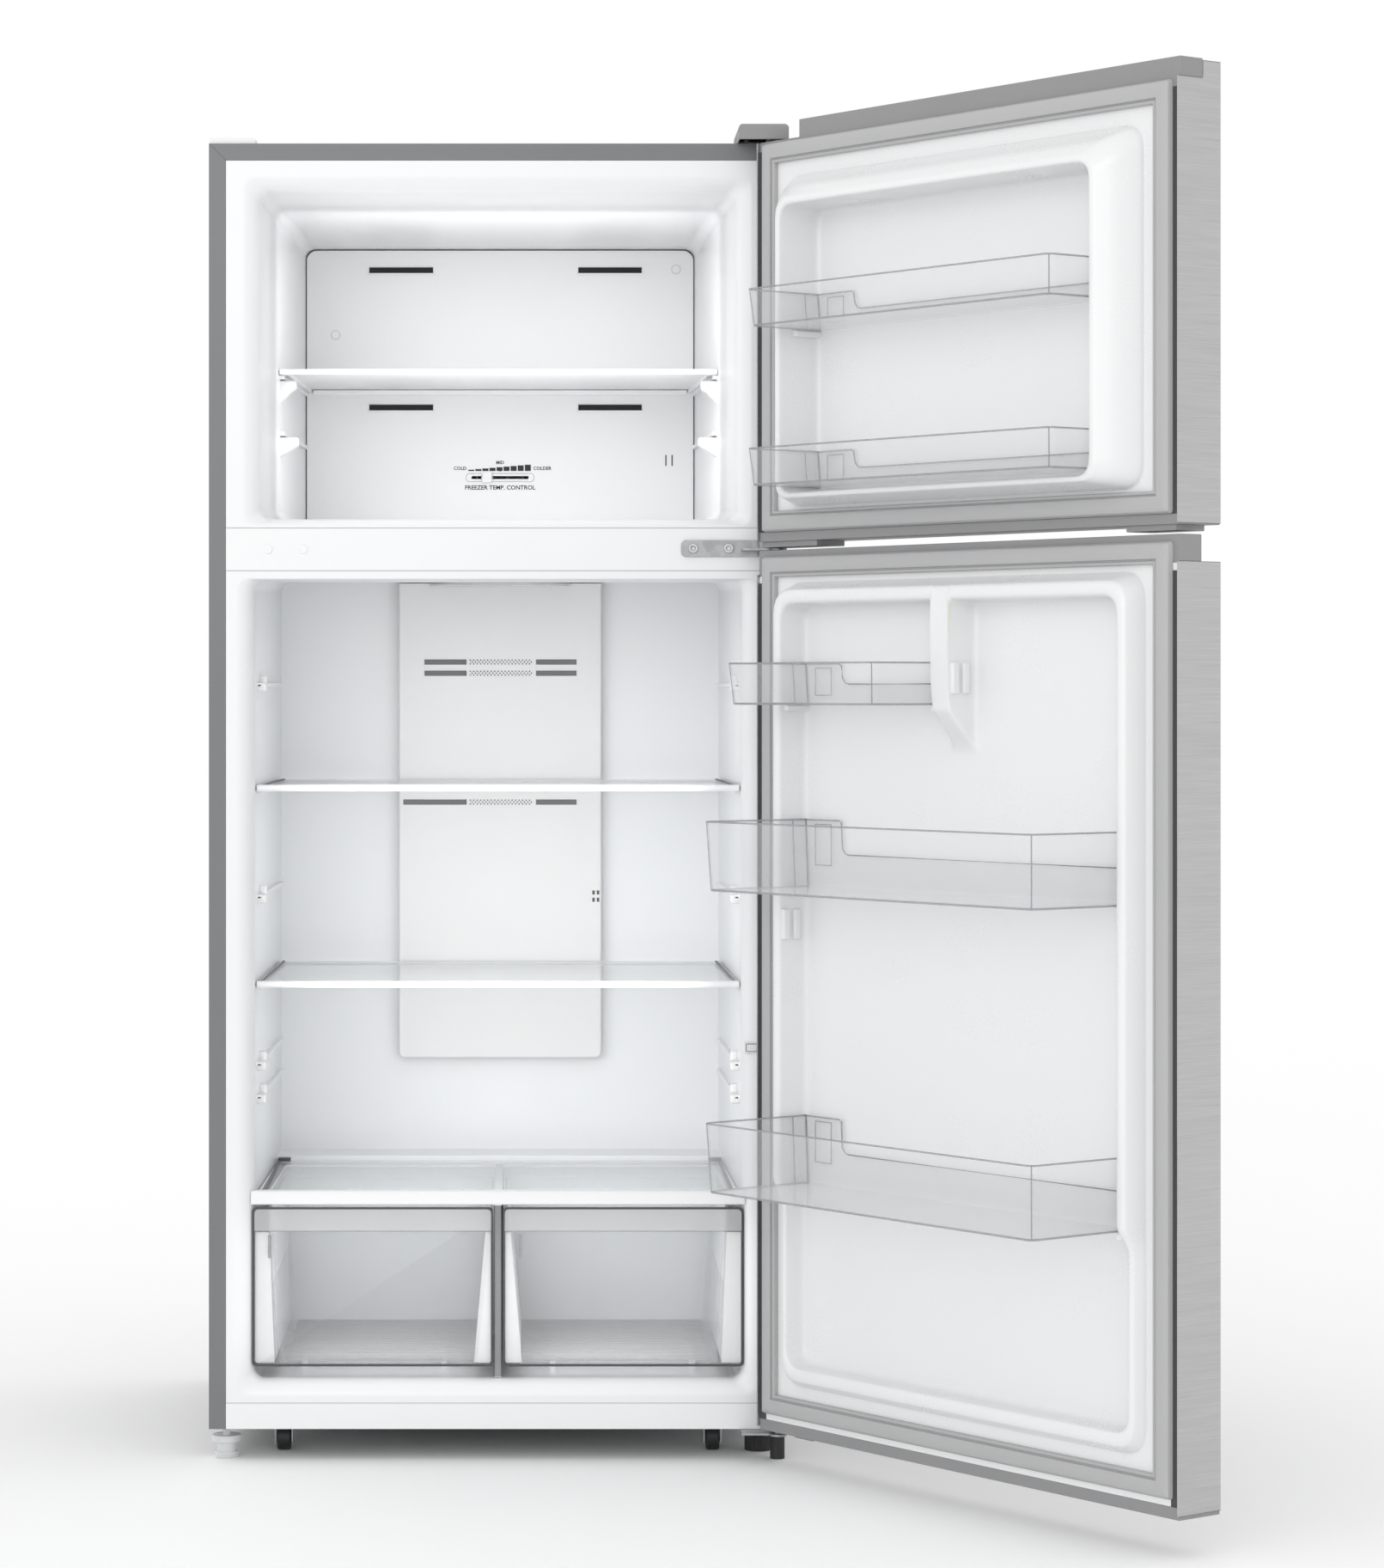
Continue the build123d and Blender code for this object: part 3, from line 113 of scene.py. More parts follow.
class Graph:
    """The node tree of one material, with helpers that add and link nodes."""

    def __init__(self, tree: bpy.types.NodeTree) -> None:
        """Wraps an empty node tree."""
        self.tree = tree

    def add(self, kind: str, settings: dict[str, Any], inputs: dict[Any, Any], output: Any = 0) -> Wire:
        """Adds one node of any type.

        Args:
            kind: The node's type.
            settings: Attributes that are set first; "stops" fills a colour ramp.
            inputs: Values or wires by the index or name of the socket.
            output: The index or name of the socket to return.

        Returns:
            The chosen output socket.
        """
        node = self.tree.nodes.new(kind)
        for name, value in settings.items():
            if name == "stops":
                self._fill_ramp(node.color_ramp, value)
            else:
                setattr(node, name, value)
        for name, value in inputs.items():
            if isinstance(value, Wire):
                self.tree.links.new(value.socket, node.inputs[name])
            else:
                node.inputs[name].default_value = value
        return Wire(self, node.outputs[output]) if len(node.outputs) else None

    @staticmethod
    def _fill_ramp(ramp: bpy.types.ColorRamp, stops: Sequence[tuple[float, float]]) -> None:
        """Sets a ramp's grey stops from (place, level) pairs."""
        while len(ramp.elements) < len(stops):
            ramp.elements.new(0.5)
        for element, (place, level) in zip(ramp.elements, stops):
            element.position = place
            element.color = (level, level, level, 1.0)

    def place(self) -> Wire:
        """Returns the Object coordinates."""
        return self.add("ShaderNodeTexCoord", {}, {}, "Object")

    def scaled(self, scale: Point) -> Wire:
        """Returns the Object coordinates multiplied by scale."""
        return self.add("ShaderNodeMapping", {}, {"Vector": self.place(), "Scale": scale})

    def noise(self, scale: float, detail: float = 3.0, vector: Wire | None = None) -> Wire:
        """Adds a Noise texture.

        Args:
            scale: Its scale, in cycles per metre.
            detail: Its octaves.
            vector: Its coordinates, or None for Object coordinates.

        Returns:
            The noise, from 0 to 1.
        """
        inputs = {"Vector": vector or self.place(), "Scale": scale, "Detail": detail}
        return self.add("ShaderNodeTexNoise", {}, inputs)

    def bump(self, height: Wire, distance: float, strength: float = 1.0) -> Wire:
        """Turns a height into a normal; distance is in metres."""
        return self.add("ShaderNodeBump", {}, {"Height": height, "Distance": distance, "Strength": strength})

    def mixed(self, colour: Colour, other: Colour, share: Wire) -> Wire:
        """Mixes two colours by a share, through the colour sockets of a Mix node."""
        node = self.tree.nodes.new("ShaderNodeMix")
        node.data_type = "RGBA"
        self.tree.links.new(share.socket, node.inputs[0])
        node.inputs[6].default_value = (*colour, 1.0)
        node.inputs[7].default_value = (*other, 1.0)
        return Wire(self, node.outputs[2])


# ---- finishes ------------------------------------------------------------------------------
@dataclass(frozen=True)
class Finish:
    """A surface finish. The base class is a satin moulded plastic with a fine grain."""

    name: str
    slot: str
    colour: Colour
    roughness: float = 0.45
    metallic: float = 0.0
    coat: float = 0.0
    shade: float = 0.92
    grain: float = 900.0
    depth: float = 0.00002

    def tone(self, graph: Graph, share: Wire) -> Wire:
        """Shades the colour by a share that changes over the surface."""
        return graph.mixed(self.colour, tuple(c * self.shade for c in self.colour), share)

    def surface(self, graph: Graph) -> tuple[Wire, Wire, Wire]:
        """Makes the parts of the finish that change over the surface.

        Args:
            graph: The material's graph.

        Returns:
            The colour, the roughness and the normal.
        """
        cloud = graph.noise(9.0, 4.0)
        fine = graph.noise(self.grain, 2.0)
        colour = self.tone(graph, cloud)
        roughness = cloud * 0.10 + fine * 0.06 + (self.roughness - 0.08)
        return colour, roughness, graph.bump(fine, self.depth)

    def material(self) -> bpy.types.Material:
        """Returns the finish's material, made the first time it is asked for."""
        title = f"{self.name}_finish"
        found = bpy.data.materials.get(title)
        if found is not None:
            return found
        made = bpy.data.materials.new(title)
        made.use_nodes = True
        made.node_tree.nodes.clear()
        made.diffuse_color = (*self.colour, 1.0)
        graph = Graph(made.node_tree)
        shader = self.shader(graph)
        graph.add("ShaderNodeOutputMaterial", {}, {"Surface": shader})
        return made

    def shader(self, graph: Graph) -> Wire:
        """Returns the finish's whole shader."""
        colour, roughness, normal = self.surface(graph)
        return graph.add("ShaderNodeBsdfPrincipled", {}, {
            "Base Color": colour, "Roughness": roughness, "Metallic": self.metallic,
            "Coat Weight": self.coat, "Coat Roughness": 0.12, "Normal": normal})


@dataclass(frozen=True)
class GlossFinish(Finish):
    """Glossy moulded sheet, very slightly uneven, as vacuum-formed liners are."""

    def surface(self, graph: Graph) -> tuple[Wire, Wire, Wire]:
        """Makes a slow waviness with a trace of fine grain; see Finish.surface."""
        cloud = graph.noise(2.5, 2.0)
        wave = graph.noise(9.0, 1.0)
        fine = graph.noise(700.0, 2.0)
        colour = self.tone(graph, cloud)
        roughness = wave * 0.06 + fine * 0.05 + (self.roughness - 0.05)
        return colour, roughness, graph.bump(wave * 0.85 + fine * 0.15, self.depth)


@dataclass(frozen=True)
class PaintFinish(Finish):
    """Stoved paint on sheet steel, with orange peel."""

    def surface(self, graph: Graph) -> tuple[Wire, Wire, Wire]:
        """Makes orange peel over a slow change of tone; see Finish.surface."""
        cloud = graph.noise(3.0, 3.0)
        peel = graph.noise(self.grain, 1.0)
        colour = self.tone(graph, cloud)
        roughness = cloud * 0.08 + peel * 0.05 + (self.roughness - 0.06)
        return colour, roughness, graph.bump(peel, self.depth)


@dataclass(frozen=True)
class BrushedFinish(Finish):
    """Steel brushed from side to side."""

    def surface(self, graph: Graph) -> tuple[Wire, Wire, Wire]:
        """Makes fine level scratches and broader streaks; see Finish.surface."""
        hair = graph.noise(1.0, 2.0, graph.scaled((14.0, 14.0, 620.0)))
        streak = graph.noise(1.0, 4.0, graph.scaled((5.0, 5.0, 170.0)))
        cloud = graph.noise(2.5, 2.0)
        share = hair * 0.55 + streak * 0.30 + cloud * 0.15
        colour = self.tone(graph, share)
        roughness = hair * 0.16 + streak * 0.08 + (self.roughness - 0.12)
        return colour, roughness, graph.bump(hair * 0.8 + streak * 0.2, self.depth)


@dataclass(frozen=True)
class ZincFinish(Finish):
    """Zinc plate, with soft spangles."""

    def surface(self, graph: Graph) -> tuple[Wire, Wire, Wire]:
        """Makes patches of slightly different tone and gloss; see Finish.surface."""
        cell = graph.add("ShaderNodeTexVoronoi", {}, {"Vector": graph.place(), "Scale": self.grain}, "Color")
        tone = graph.add("ShaderNodeSeparateColor", {}, {0: cell})
        fine = graph.noise(400.0, 3.0)
        share = tone * 0.7 + fine * 0.3
        colour = self.tone(graph, share)
        roughness = tone * 0.14 + fine * 0.08 + (self.roughness - 0.10)
        return colour, roughness, graph.bump(fine * 0.6 + tone * 0.4, self.depth)


@dataclass(frozen=True)
class ClearFinish(Finish):
    """Clear plastic or glass: it shows most where it is seen edge on."""

    face: float = 0.08
    rim: float = 0.75
    sharpness: float = 2.5
    body: Colour = (0.96, 0.97, 0.97)

    def shader(self, graph: Graph) -> Wire:
        """Mixes a clear film with the glossy surface by how it faces the viewer."""
        facing = graph.add("ShaderNodeLayerWeight", {}, {"Blend": 0.5}, "Facing")
        haze = graph.noise(14.0, 3.0)
        factor = (facing ** self.sharpness) * (self.rim - self.face) + haze * 0.03 + (self.face - 0.015)
        colour, roughness, normal = self.surface(graph)
        gloss = graph.add("ShaderNodeBsdfPrincipled", {}, {
            "Base Color": colour, "Roughness": roughness, "Normal": normal})
        film = graph.add("ShaderNodeBsdfTransparent", {}, {"Color": (*self.body, 1.0)})
        return graph.add("ShaderNodeMixShader", {}, {0: factor, 1: film, 2: gloss})


@dataclass(frozen=True)
class Finishes:
    """Every finish of the refrigerator."""

    cabinet: Finish = PaintFinish("satin_grey_paint", "painted_steel", (0.165, 0.168, 0.172), 0.42,
                                  coat=0.15, shade=0.95, grain=650.0, depth=0.00001)
    zinc: Finish = ZincFinish("zinc_plate", "zinc_steel", (0.37, 0.385, 0.39), 0.38, metallic=0.9,
                              shade=0.80, grain=90.0)
    foam: Finish = Finish("rigid_foam", "foam", (0.78, 0.70, 0.48), 0.85, shade=0.85, grain=220.0,
                          depth=0.0004)
    liner: Finish = GlossFinish("white_liner", "white_liner", (0.795, 0.803, 0.812), 0.30, coat=0.12,
                                shade=0.985, depth=0.00001)
    # painted shade: the liner's white made a touch darker on the doors, which face the light more
    door_liner: Finish = GlossFinish("door_liner", "white_liner", (0.79, 0.795, 0.80), 0.28, coat=0.12,
                                     shade=0.985, depth=0.00001)
    # the duct's own grey; the white moulded lugs take it too, as painted shade
    duct: Finish = Finish("duct_moulding", "white_liner", (0.745, 0.745, 0.745), 0.38, shade=0.985,
                          grain=1100.0, depth=0.00001)
    white: Finish = Finish("white_moulding", "white_liner", (0.81, 0.815, 0.82), 0.36, shade=0.98,
                           grain=1100.0, depth=0.00001)
    grey: Finish = Finish("grey_moulding", "grey_plastic", (0.27, 0.27, 0.275), 0.48, shade=0.93,
                          grain=1200.0, depth=0.00004)
    light_grey: Finish = Finish("light_grey_moulding", "grey_plastic", (0.56, 0.565, 0.57), 0.42, shade=0.94)
    steel: Finish = BrushedFinish("brushed_steel", "brushed_steel", (0.60, 0.60, 0.605), 0.34, metallic=0.85,
                                  shade=0.62, depth=0.00001)
    gasket: Finish = Finish("grey_gasket", "gasket_rubber", (0.44, 0.44, 0.445), 0.55, shade=0.95,
                            grain=700.0)
    clear: Finish = ClearFinish("clear_plastic", "clear_plastic", (0.78, 0.79, 0.80), 0.12, shade=0.96,
                                face=0.07, rim=0.66, body=(0.983, 0.985, 0.986))
    clear_edge: Finish = ClearFinish("clear_plastic_edge", "clear_plastic", (0.36, 0.37, 0.38), 0.16,
                                     shade=0.9, face=0.42, rim=0.80, body=(0.88, 0.885, 0.89))
    crisper: Finish = ClearFinish("crisper_plastic", "clear_plastic", (0.72, 0.73, 0.74), 0.14, shade=0.96,
                                  face=0.05, rim=0.40, body=(0.988, 0.989, 0.99))
    crisper_band: Finish = ClearFinish("crisper_band", "clear_plastic", (0.60, 0.605, 0.61), 0.25, shade=0.96,
                                       face=0.50, rim=0.70, body=(0.97, 0.972, 0.974))
    # painted shade: near-black for the bead round each clear crisper front, where the clear rim and the shadow
    # under it look dark
    crisper_rim_shade: Finish = Finish("crisper_outline", "clear_plastic", (0.055, 0.057, 0.06), 0.35, shade=0.85)
    frosted: Finish = ClearFinish("frosted_plastic", "clear_plastic", (0.84, 0.86, 0.87), 0.30, shade=0.97,
                                  face=0.55, rim=0.92, body=(0.98, 0.985, 0.985))
    glass: Finish = ClearFinish("clear_glass", "tempered_glass", (0.76, 0.78, 0.785), 0.07, shade=0.96,
                                face=0.12, rim=0.42, body=(0.98, 0.986, 0.987))
    glass_edge: Finish = Finish("glass_edge_strip", "tempered_glass", (0.075, 0.08, 0.085), 0.40, shade=0.8)
    aluminium: Finish = ZincFinish("bare_aluminium", "aluminium", (0.78, 0.78, 0.79), 0.36, metallic=1.0,
                                   shade=0.9, grain=300.0)
    black: Finish = Finish("black_moulding", "black_plastic", (0.022, 0.022, 0.024), 0.50, shade=0.75)
    enamel: Finish = PaintFinish("black_enamel", "black_plastic", (0.012, 0.012, 0.013), 0.28, coat=0.4,
                                 grain=300.0)
    shadow: Finish = Finish("vent_shadow", "grey_plastic", (0.10, 0.10, 0.105), 0.60, shade=0.85)
    # painted shade: grey on the clear floor ribs of the crispers, for the shade lines between them
    floor_rib_shade: Finish = Finish("crisper_rib_grey", "clear_plastic", (0.44, 0.445, 0.45), 0.40, shade=0.9)
    # painted shade: dark grey for the divider's white face, seen in the shadowed gap between the crispers
    divider: Finish = Finish("divider_grey", "white_liner", (0.26, 0.265, 0.27), 0.45, shade=0.85, grain=60.0)
    seam: Finish = Finish("seam_grey", "white_liner", (0.42, 0.42, 0.425), 0.60, shade=0.9)
    # painted shade: near-black for the blocks behind the freezer panel's slots, where one sees only shade
    slot_dark: Finish = Finish("slot_dark", "grey_plastic", (0.012, 0.012, 0.013), 0.70, shade=0.8)
    # painted shade: grey for the blocks inside the duct's slots, where one sees only shade
    vent_grey: Finish = Finish("vent_grey", "grey_plastic", (0.17, 0.17, 0.175), 0.60, shade=0.85)
    # partly the flange's own dark, partly painted shade for the shadowed gap between the seal and the steel
    seal_gap_shade: Finish = Finish("door_edge_strip", "grey_plastic", (0.052, 0.052, 0.054), 0.50, shade=0.92)
    ink: Finish = Finish("dark_print", "grey_plastic", (0.018, 0.018, 0.02), 0.55, shade=0.9)
    screw: Finish = ZincFinish("screw_steel", "zinc_steel", (0.50, 0.50, 0.50), 0.34, metallic=1.0,
                               shade=0.85, grain=400.0)


FINISH = Finishes()


# ---- the site ------------------------------------------------------------------------------
@dataclass(frozen=True)
class Site:
    """Where the cabinet's front plane, its sides and the doors' axis lie."""

    front: float
    back: float
    half: float
    top: float
    axis: Vector
    open_angle: float

    @classmethod
    def measured(cls) -> "Site":
        """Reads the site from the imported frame."""
        low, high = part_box("cabinet_shell")
        joint = next(j for j in frame["joints"] if j["name"] == "freezer_door_hinge")
        swing = -math.radians(joint["range_deg"][0])
        return cls(low.y, high.y, high.x, high.z, Vector(joint["pos_m"]), swing)

    @property
    def plane(self) -> float:
        """The front plane's Y in millimetres."""
        return self.front / MM

    def depth(self, millimetres: float) -> float:
        """Returns the Y of a depth behind the front plane."""
        return self.front + millimetres * MM

    def swing(self) -> Matrix:
        """Returns the move from a door's closed place to where it stands open."""
        pivot = Matrix.Translation(self.axis)
        return pivot @ Matrix.Rotation(self.open_angle, 4, "Z") @ pivot.inverted()


SITE = Site.measured()


# ---- forms ---------------------------------------------------------------------------------
def rounded(x_low: float, x_high: float, y_low: float, y_high: float, radii: Sequence[float],
            steps: int = 6) -> list[tuple[float, float]]:
    """Makes the outline of a rounded rectangle.

    Args:
        x_low: Its left side.
        x_high: Its right side.
        y_low: Its lower side.
        y_high: Its upper side.
        radii: Corner radii, from the lower left corner round to the right.
        steps: The segments of each corner.

    Returns:
        The outline's points, in order.
    """
    corners = ((x_low, y_low, 1, 1, 180), (x_high, y_low, -1, 1, 270),
               (x_high, y_high, -1, -1, 0), (x_low, y_high, 1, -1, 90))
    points = []
    for (x, y, x_in, y_in, start), radius in zip(corners, radii):
        for i in range(steps + 1):
            angle = math.radians(start + 90 * i / steps)
            points.append((x + radius * (x_in + math.cos(angle)), y + radius * (y_in + math.sin(angle))))
    return points


def outline(corners: Sequence[tuple[float, float, float]], steps: int = 5) -> list[tuple[float, float]]:
    """Makes a closed outline with rounded corners, whichever way they turn.

    Args:
        corners: The corners (x, y, radius), in order.
        steps: The segments of each corner.

    Returns:
        The outline's points, as many for every corner.
    """
    points = []
    for i, (x, y, radius) in enumerate(corners):
        here = Vector((x, y))
        back = Vector(corners[i - 1][:2]) - here
        ahead = Vector(corners[(i + 1) % len(corners)][:2]) - here
        start = here + back.normalized() * min(radius, back.length / 2)
        end = here + ahead.normalized() * min(radius, ahead.length / 2)
        for k in range(steps + 1):
            t = k / steps
            points.append(tuple(start * (1 - t) ** 2 + here * (2 * t * (1 - t)) + end * t**2))
    return points


def filleted(keys: Sequence[Sequence[float]], radii: Sequence[float],
             steps: int = 4) -> list[tuple[float, ...]]:
    """Rounds the inner corners of a path of stations.

    Args:
        keys: The stations; the first two values of each are a depth and a half width.
        radii: The radius at every station but the first and the last.
        steps: The segments of each round.

    Returns:
        The stations of the rounded path.
    """
    path = [tuple(keys[0])]
    for before, here, after, radius in zip(keys, keys[1:], keys[2:], radii):
        ends = []
        for other in (before, after):
            share = min(radius / max(math.dist(here[:2], other[:2]), 0.001), 0.5)
            ends.append([a + (b - a) * share for a, b in zip(here, other)])
        for k in range(steps + 1):
            t = k / steps
            path.append(tuple(a * (1 - t) ** 2 + b * 2 * t * (1 - t) + c * t**2
                              for a, b, c in zip(ends[0], here, ends[1])))
    return path + [tuple(keys[-1])]


def added(name: str, data: Any) -> bpy.types.Object:
    """Returns a new object that shows the data, linked to the scene."""
    obj = bpy.data.objects.new(name, data)
    bpy.context.scene.collection.objects.link(obj)
    return obj


@dataclass(frozen=True)
class Look:
    """How a form is finished: its finish, the width of its edges' rounding and where shading breaks."""

    finish: Finish
    bevel: float = 0.0
    crease: float = 40.0
    segments: int = 2
    clamp: bool = True


class Form:
    """A mesh that is built up piece by piece, in millimetres, and then placed as one object."""

    def __init__(self) -> None:
        """Starts an empty form."""
        self.mesh = bmesh.new()
        self.own = True

    @classmethod
    def of_node(cls, node: str, flat: float = 0.6) -> "Form":
        """Starts from a merged copy of a CAD node, in metres.

        Args:
            node: The node's name.
            flat: Faces closer than this many degrees become one.

        Returns:
            The new form.
        """
        form = cls()
        form.own = False
        form.mesh.from_mesh(frame["nodes"][node].data)
        bmesh.ops.remove_doubles(form.mesh, verts=form.mesh.verts, dist=3e-6)
        bmesh.ops.dissolve_limit(form.mesh, angle_limit=math.radians(flat), verts=form.mesh.verts,
                                 edges=form.mesh.edges)
        return form

    def skin(self, loops: Sequence[Sequence[Point]], ring: bool = False) -> "Form":
        """Skins closed outlines that have the same number of points.

        Args:
            loops: The outlines, in order.
            ring: Whether the last outline joins the first; if it doesn't, both are filled.

        Returns:
            The form itself.
        """
        rows = [[self.mesh.verts.new(p) for p in loop] for loop in loops]
        pairs = list(zip(rows, rows[1:])) + ([(rows[-1], rows[0])] if ring else [])
        for one, two in pairs:
            for i in range(len(one)):
                j = (i + 1) % len(one)
                self.mesh.faces.new((one[i], one[j], two[j], two[i]))
        if not ring:
            self.mesh.faces.new(list(reversed(rows[0])))
            self.mesh.faces.new(rows[-1])
        return self

    def standing(self, stations: Sequence[Station], ring: bool = False) -> "Form":
        """Skins upright outlines, each at its own depth behind the front plane."""
        return self.skin([[(x, SITE.plane + d, z) for x, z in points] for d, points in stations], ring)

    def lying(self, stations: Sequence[Station]) -> "Form":
        """Skins lying outlines, each at its own height; their second number is a depth."""
        return self.skin([[(x, SITE.plane + d, z) for x, d in points] for z, points in stations])

    def block(self, x_low: float, x_high: float, d_low: float, d_high: float, z_low: float,
              z_high: float) -> "Form":
        """Adds a block given by its limits across, in depth and in height."""
        base = [(x_low, d_low), (x_high, d_low), (x_high, d_high), (x_low, d_high)]
        return self.lying([(z_low, base), (z_high, base)])

    def blocks(self, near: float, far: float, *limits: float) -> "Form":
        """Adds a block on each side, between two distances from the middle; see block."""
        self.block(-far, -near, *limits)
        return self.block(near, far, *limits)

    def slab(self, d_low: float, d_high: float, points: Sequence[tuple[float, float]]) -> "Form":
        """Adds an upright slab with one outline, between two depths."""
        return self.standing([(d_low, points), (d_high, points)])

    def rod(self, path: Sequence[Point], radius: float, sides: int = 12) -> "Form":
        """Adds a round rod.

        Args:
            path: Points (across, depth, height) along its middle.
            radius: Its radius.
            sides: The sides of its section.

        Returns:
            The form itself.
        """
        points = [Vector((x, SITE.plane + depth, z)) for x, depth, z in path]
        loops = []
        guide = Vector((0, 0, 1))
        for i, point in enumerate(points):
            ahead = (points[min(i + 1, len(points) - 1)] - points[max(i - 1, 0)]).normalized()
            if abs(ahead.dot(guide)) > 0.95:
                guide = Vector((1, 0, 0))
            side = ahead.cross(guide).normalized()
            up = side.cross(ahead)
            loops.append([tuple(point + radius * (math.cos(a) * side + math.sin(a) * up))
                          for a in (2 * math.pi * k / sides for k in range(sides))])
        return self.skin(loops)

    def place(self, name: str, body: str, look: Look, matrix: Matrix | None = None,
              replaced: Iterable[str] = ()) -> bpy.types.Object:
        """Finishes the form as one object that rides on a body.

        Args:
            name: The object's name.
            body: The CAD body that it rides on.
            look: Its finish and how its edges are rounded.
            matrix: A move in metres, such as a door's swing.
            replaced: The CAD nodes that it stands for.

        Returns:
            The object.
        """
        if self.own:
            bmesh.ops.scale(self.mesh, vec=(MM, MM, MM), verts=self.mesh.verts)
            bmesh.ops.remove_doubles(self.mesh, verts=self.mesh.verts, dist=2e-6)
            bmesh.ops.recalc_face_normals(self.mesh, faces=self.mesh.faces)
        if matrix is not None:
            bmesh.ops.transform(self.mesh, matrix=matrix, verts=self.mesh.verts)
        data = bpy.data.meshes.new(name)
        self.mesh.to_mesh(data)
        self.mesh.free()
        obj = added(name, data)
        if look.bevel > 0:
            bevel = obj.modifiers.new("edges", "BEVEL")
            bevel.width = look.bevel * MM
            bevel.segments = look.segments
            bevel.limit_method = "ANGLE"
            bevel.angle_limit = math.radians(look.crease)
            bevel.use_clamp_overlap = look.clamp
            obj = baked(obj)
        return dressed(obj, body, look, replaced)


def baked(obj: bpy.types.Object) -> bpy.types.Object:
    """Turns an object's modifiers into its plain mesh."""
    graph = bpy.context.evaluated_depsgraph_get()
    data = bpy.data.meshes.new_from_object(obj.evaluated_get(graph))
    obj.modifiers.clear()
    old, obj.data = obj.data, data
    data.name = obj.name
    bpy.data.meshes.remove(old)
    return obj


def dressed(obj: bpy.types.Object, body: str, look: Look, replaced: Iterable[str] = ()) -> bpy.types.Object:
    """Gives an object its material and shading, and declares what it rides on.

    Args:
        obj: The object.
        body: The CAD body that it rides on.
        look: Its finish and crease angle.
        replaced: The CAD nodes that it stands for.

    Returns:
        The same object.
    """
    obj.data.shade_smooth()
    obj.data.set_sharp_from_angle(angle=math.radians(look.crease))
    even = obj.modifiers.new("even", "WEIGHTED_NORMAL")
    even.mode = "FACE_AREA"
    even.weight = 100
    even.keep_sharp = True
    baked(obj)
    obj.data.materials.clear()
    obj.data.materials.append(look.finish.material())
    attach(obj, body)
    nodes = list(replaced)
    if nodes:
        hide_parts(*nodes)
    return obj


def rounded_node(node: str, body: str, look: Look) -> bpy.types.Object:
    """Stands a copy of a CAD node with rounded edges in its place."""
    return Form.of_node(node).place(f"{node}_skin", body, look, replaced=[node])


# ---- repeats -------------------------------------------------------------------------------
class Unit(Enum):
    """The shapes that a row repeats."""

    BLOCK = "block"
    DISC = "disc"


class RowTree:
    """A Geometry Nodes tree that repeats one unit along a line."""

    SIZES = {
        "Count": "NodeSocketInt", "Start": "NodeSocketVector", "Step": "NodeSocketVector",
        "Size": "NodeSocketVector", "Turn": "NodeSocketVector", "Finish": "NodeSocketMaterial",
    }

    def __init__(self, unit: Unit) -> None:
        """Builds the tree for one unit."""
        self.tree = bpy.data.node_groups.new(f"row_of_{unit.value}s", "GeometryNodeTree")
        for name, kind in self.SIZES.items():
            self.tree.interface.new_socket(name, in_out="INPUT", socket_type=kind)
        self.tree.interface.new_socket("Geometry", in_out="OUTPUT", socket_type="NodeSocketGeometry")
        self._link(unit)

    def _link(self, unit: Unit) -> None:
        """Adds and links the nodes."""
        nodes, links = self.tree.nodes, self.tree.links
        given = nodes.new("NodeGroupInput").outputs
        line = nodes.new("GeometryNodeMeshLine")
        line.mode = "OFFSET"
        links.new(given["Count"], line.inputs["Count"])
        links.new(given["Start"], line.inputs["Start Location"])
        links.new(given["Step"], line.inputs["Offset"])
        if unit is Unit.BLOCK:
            shape = nodes.new("GeometryNodeMeshCube")
            links.new(given["Size"], shape.inputs["Size"])
        else:
            shape = nodes.new("GeometryNodeMeshCylinder")
            shape.inputs["Vertices"].default_value = 12
            split = nodes.new("ShaderNodeSeparateXYZ")
            links.new(given["Size"], split.inputs[0])
            links.new(split.outputs["X"], shape.inputs["Radius"])
            links.new(split.outputs["Z"], shape.inputs["Depth"])
        put = nodes.new("GeometryNodeInstanceOnPoints")
        links.new(line.outputs["Mesh"], put.inputs["Points"])
        links.new(shape.outputs["Mesh"], put.inputs["Instance"])
        links.new(given["Turn"], put.inputs["Rotation"])
        real = nodes.new("GeometryNodeRealizeInstances")
        links.new(put.outputs[0], real.inputs[0])
        painted = nodes.new("GeometryNodeSetMaterial")
        links.new(real.outputs[0], painted.inputs["Geometry"])
        links.new(given["Finish"], painted.inputs["Material"])
        links.new(painted.outputs[0], nodes.new("NodeGroupOutput").inputs[0])

    def row(self, name: str, finish: Finish, **sizes: Any) -> bpy.types.Object:
        """Makes one row as a plain mesh.

        Args:
            name: The object's name.
            finish: The row's finish.
            **sizes: Count, and Start, Step, Size and Turn as vectors, in metres.

        Returns:
            The row's object, with no modifier left on it.
        """
        obj = added(name, bpy.data.meshes.new(name))
        modifier = obj.modifiers.new("row", "NODES")
        modifier.node_group = self.tree
        sizes["Finish"] = finish.material()
        for item in self.tree.interface.items_tree:
            if item.in_out == "INPUT" and item.name in sizes:
                modifier[item.identifier] = sizes[item.name]
        return baked(obj)


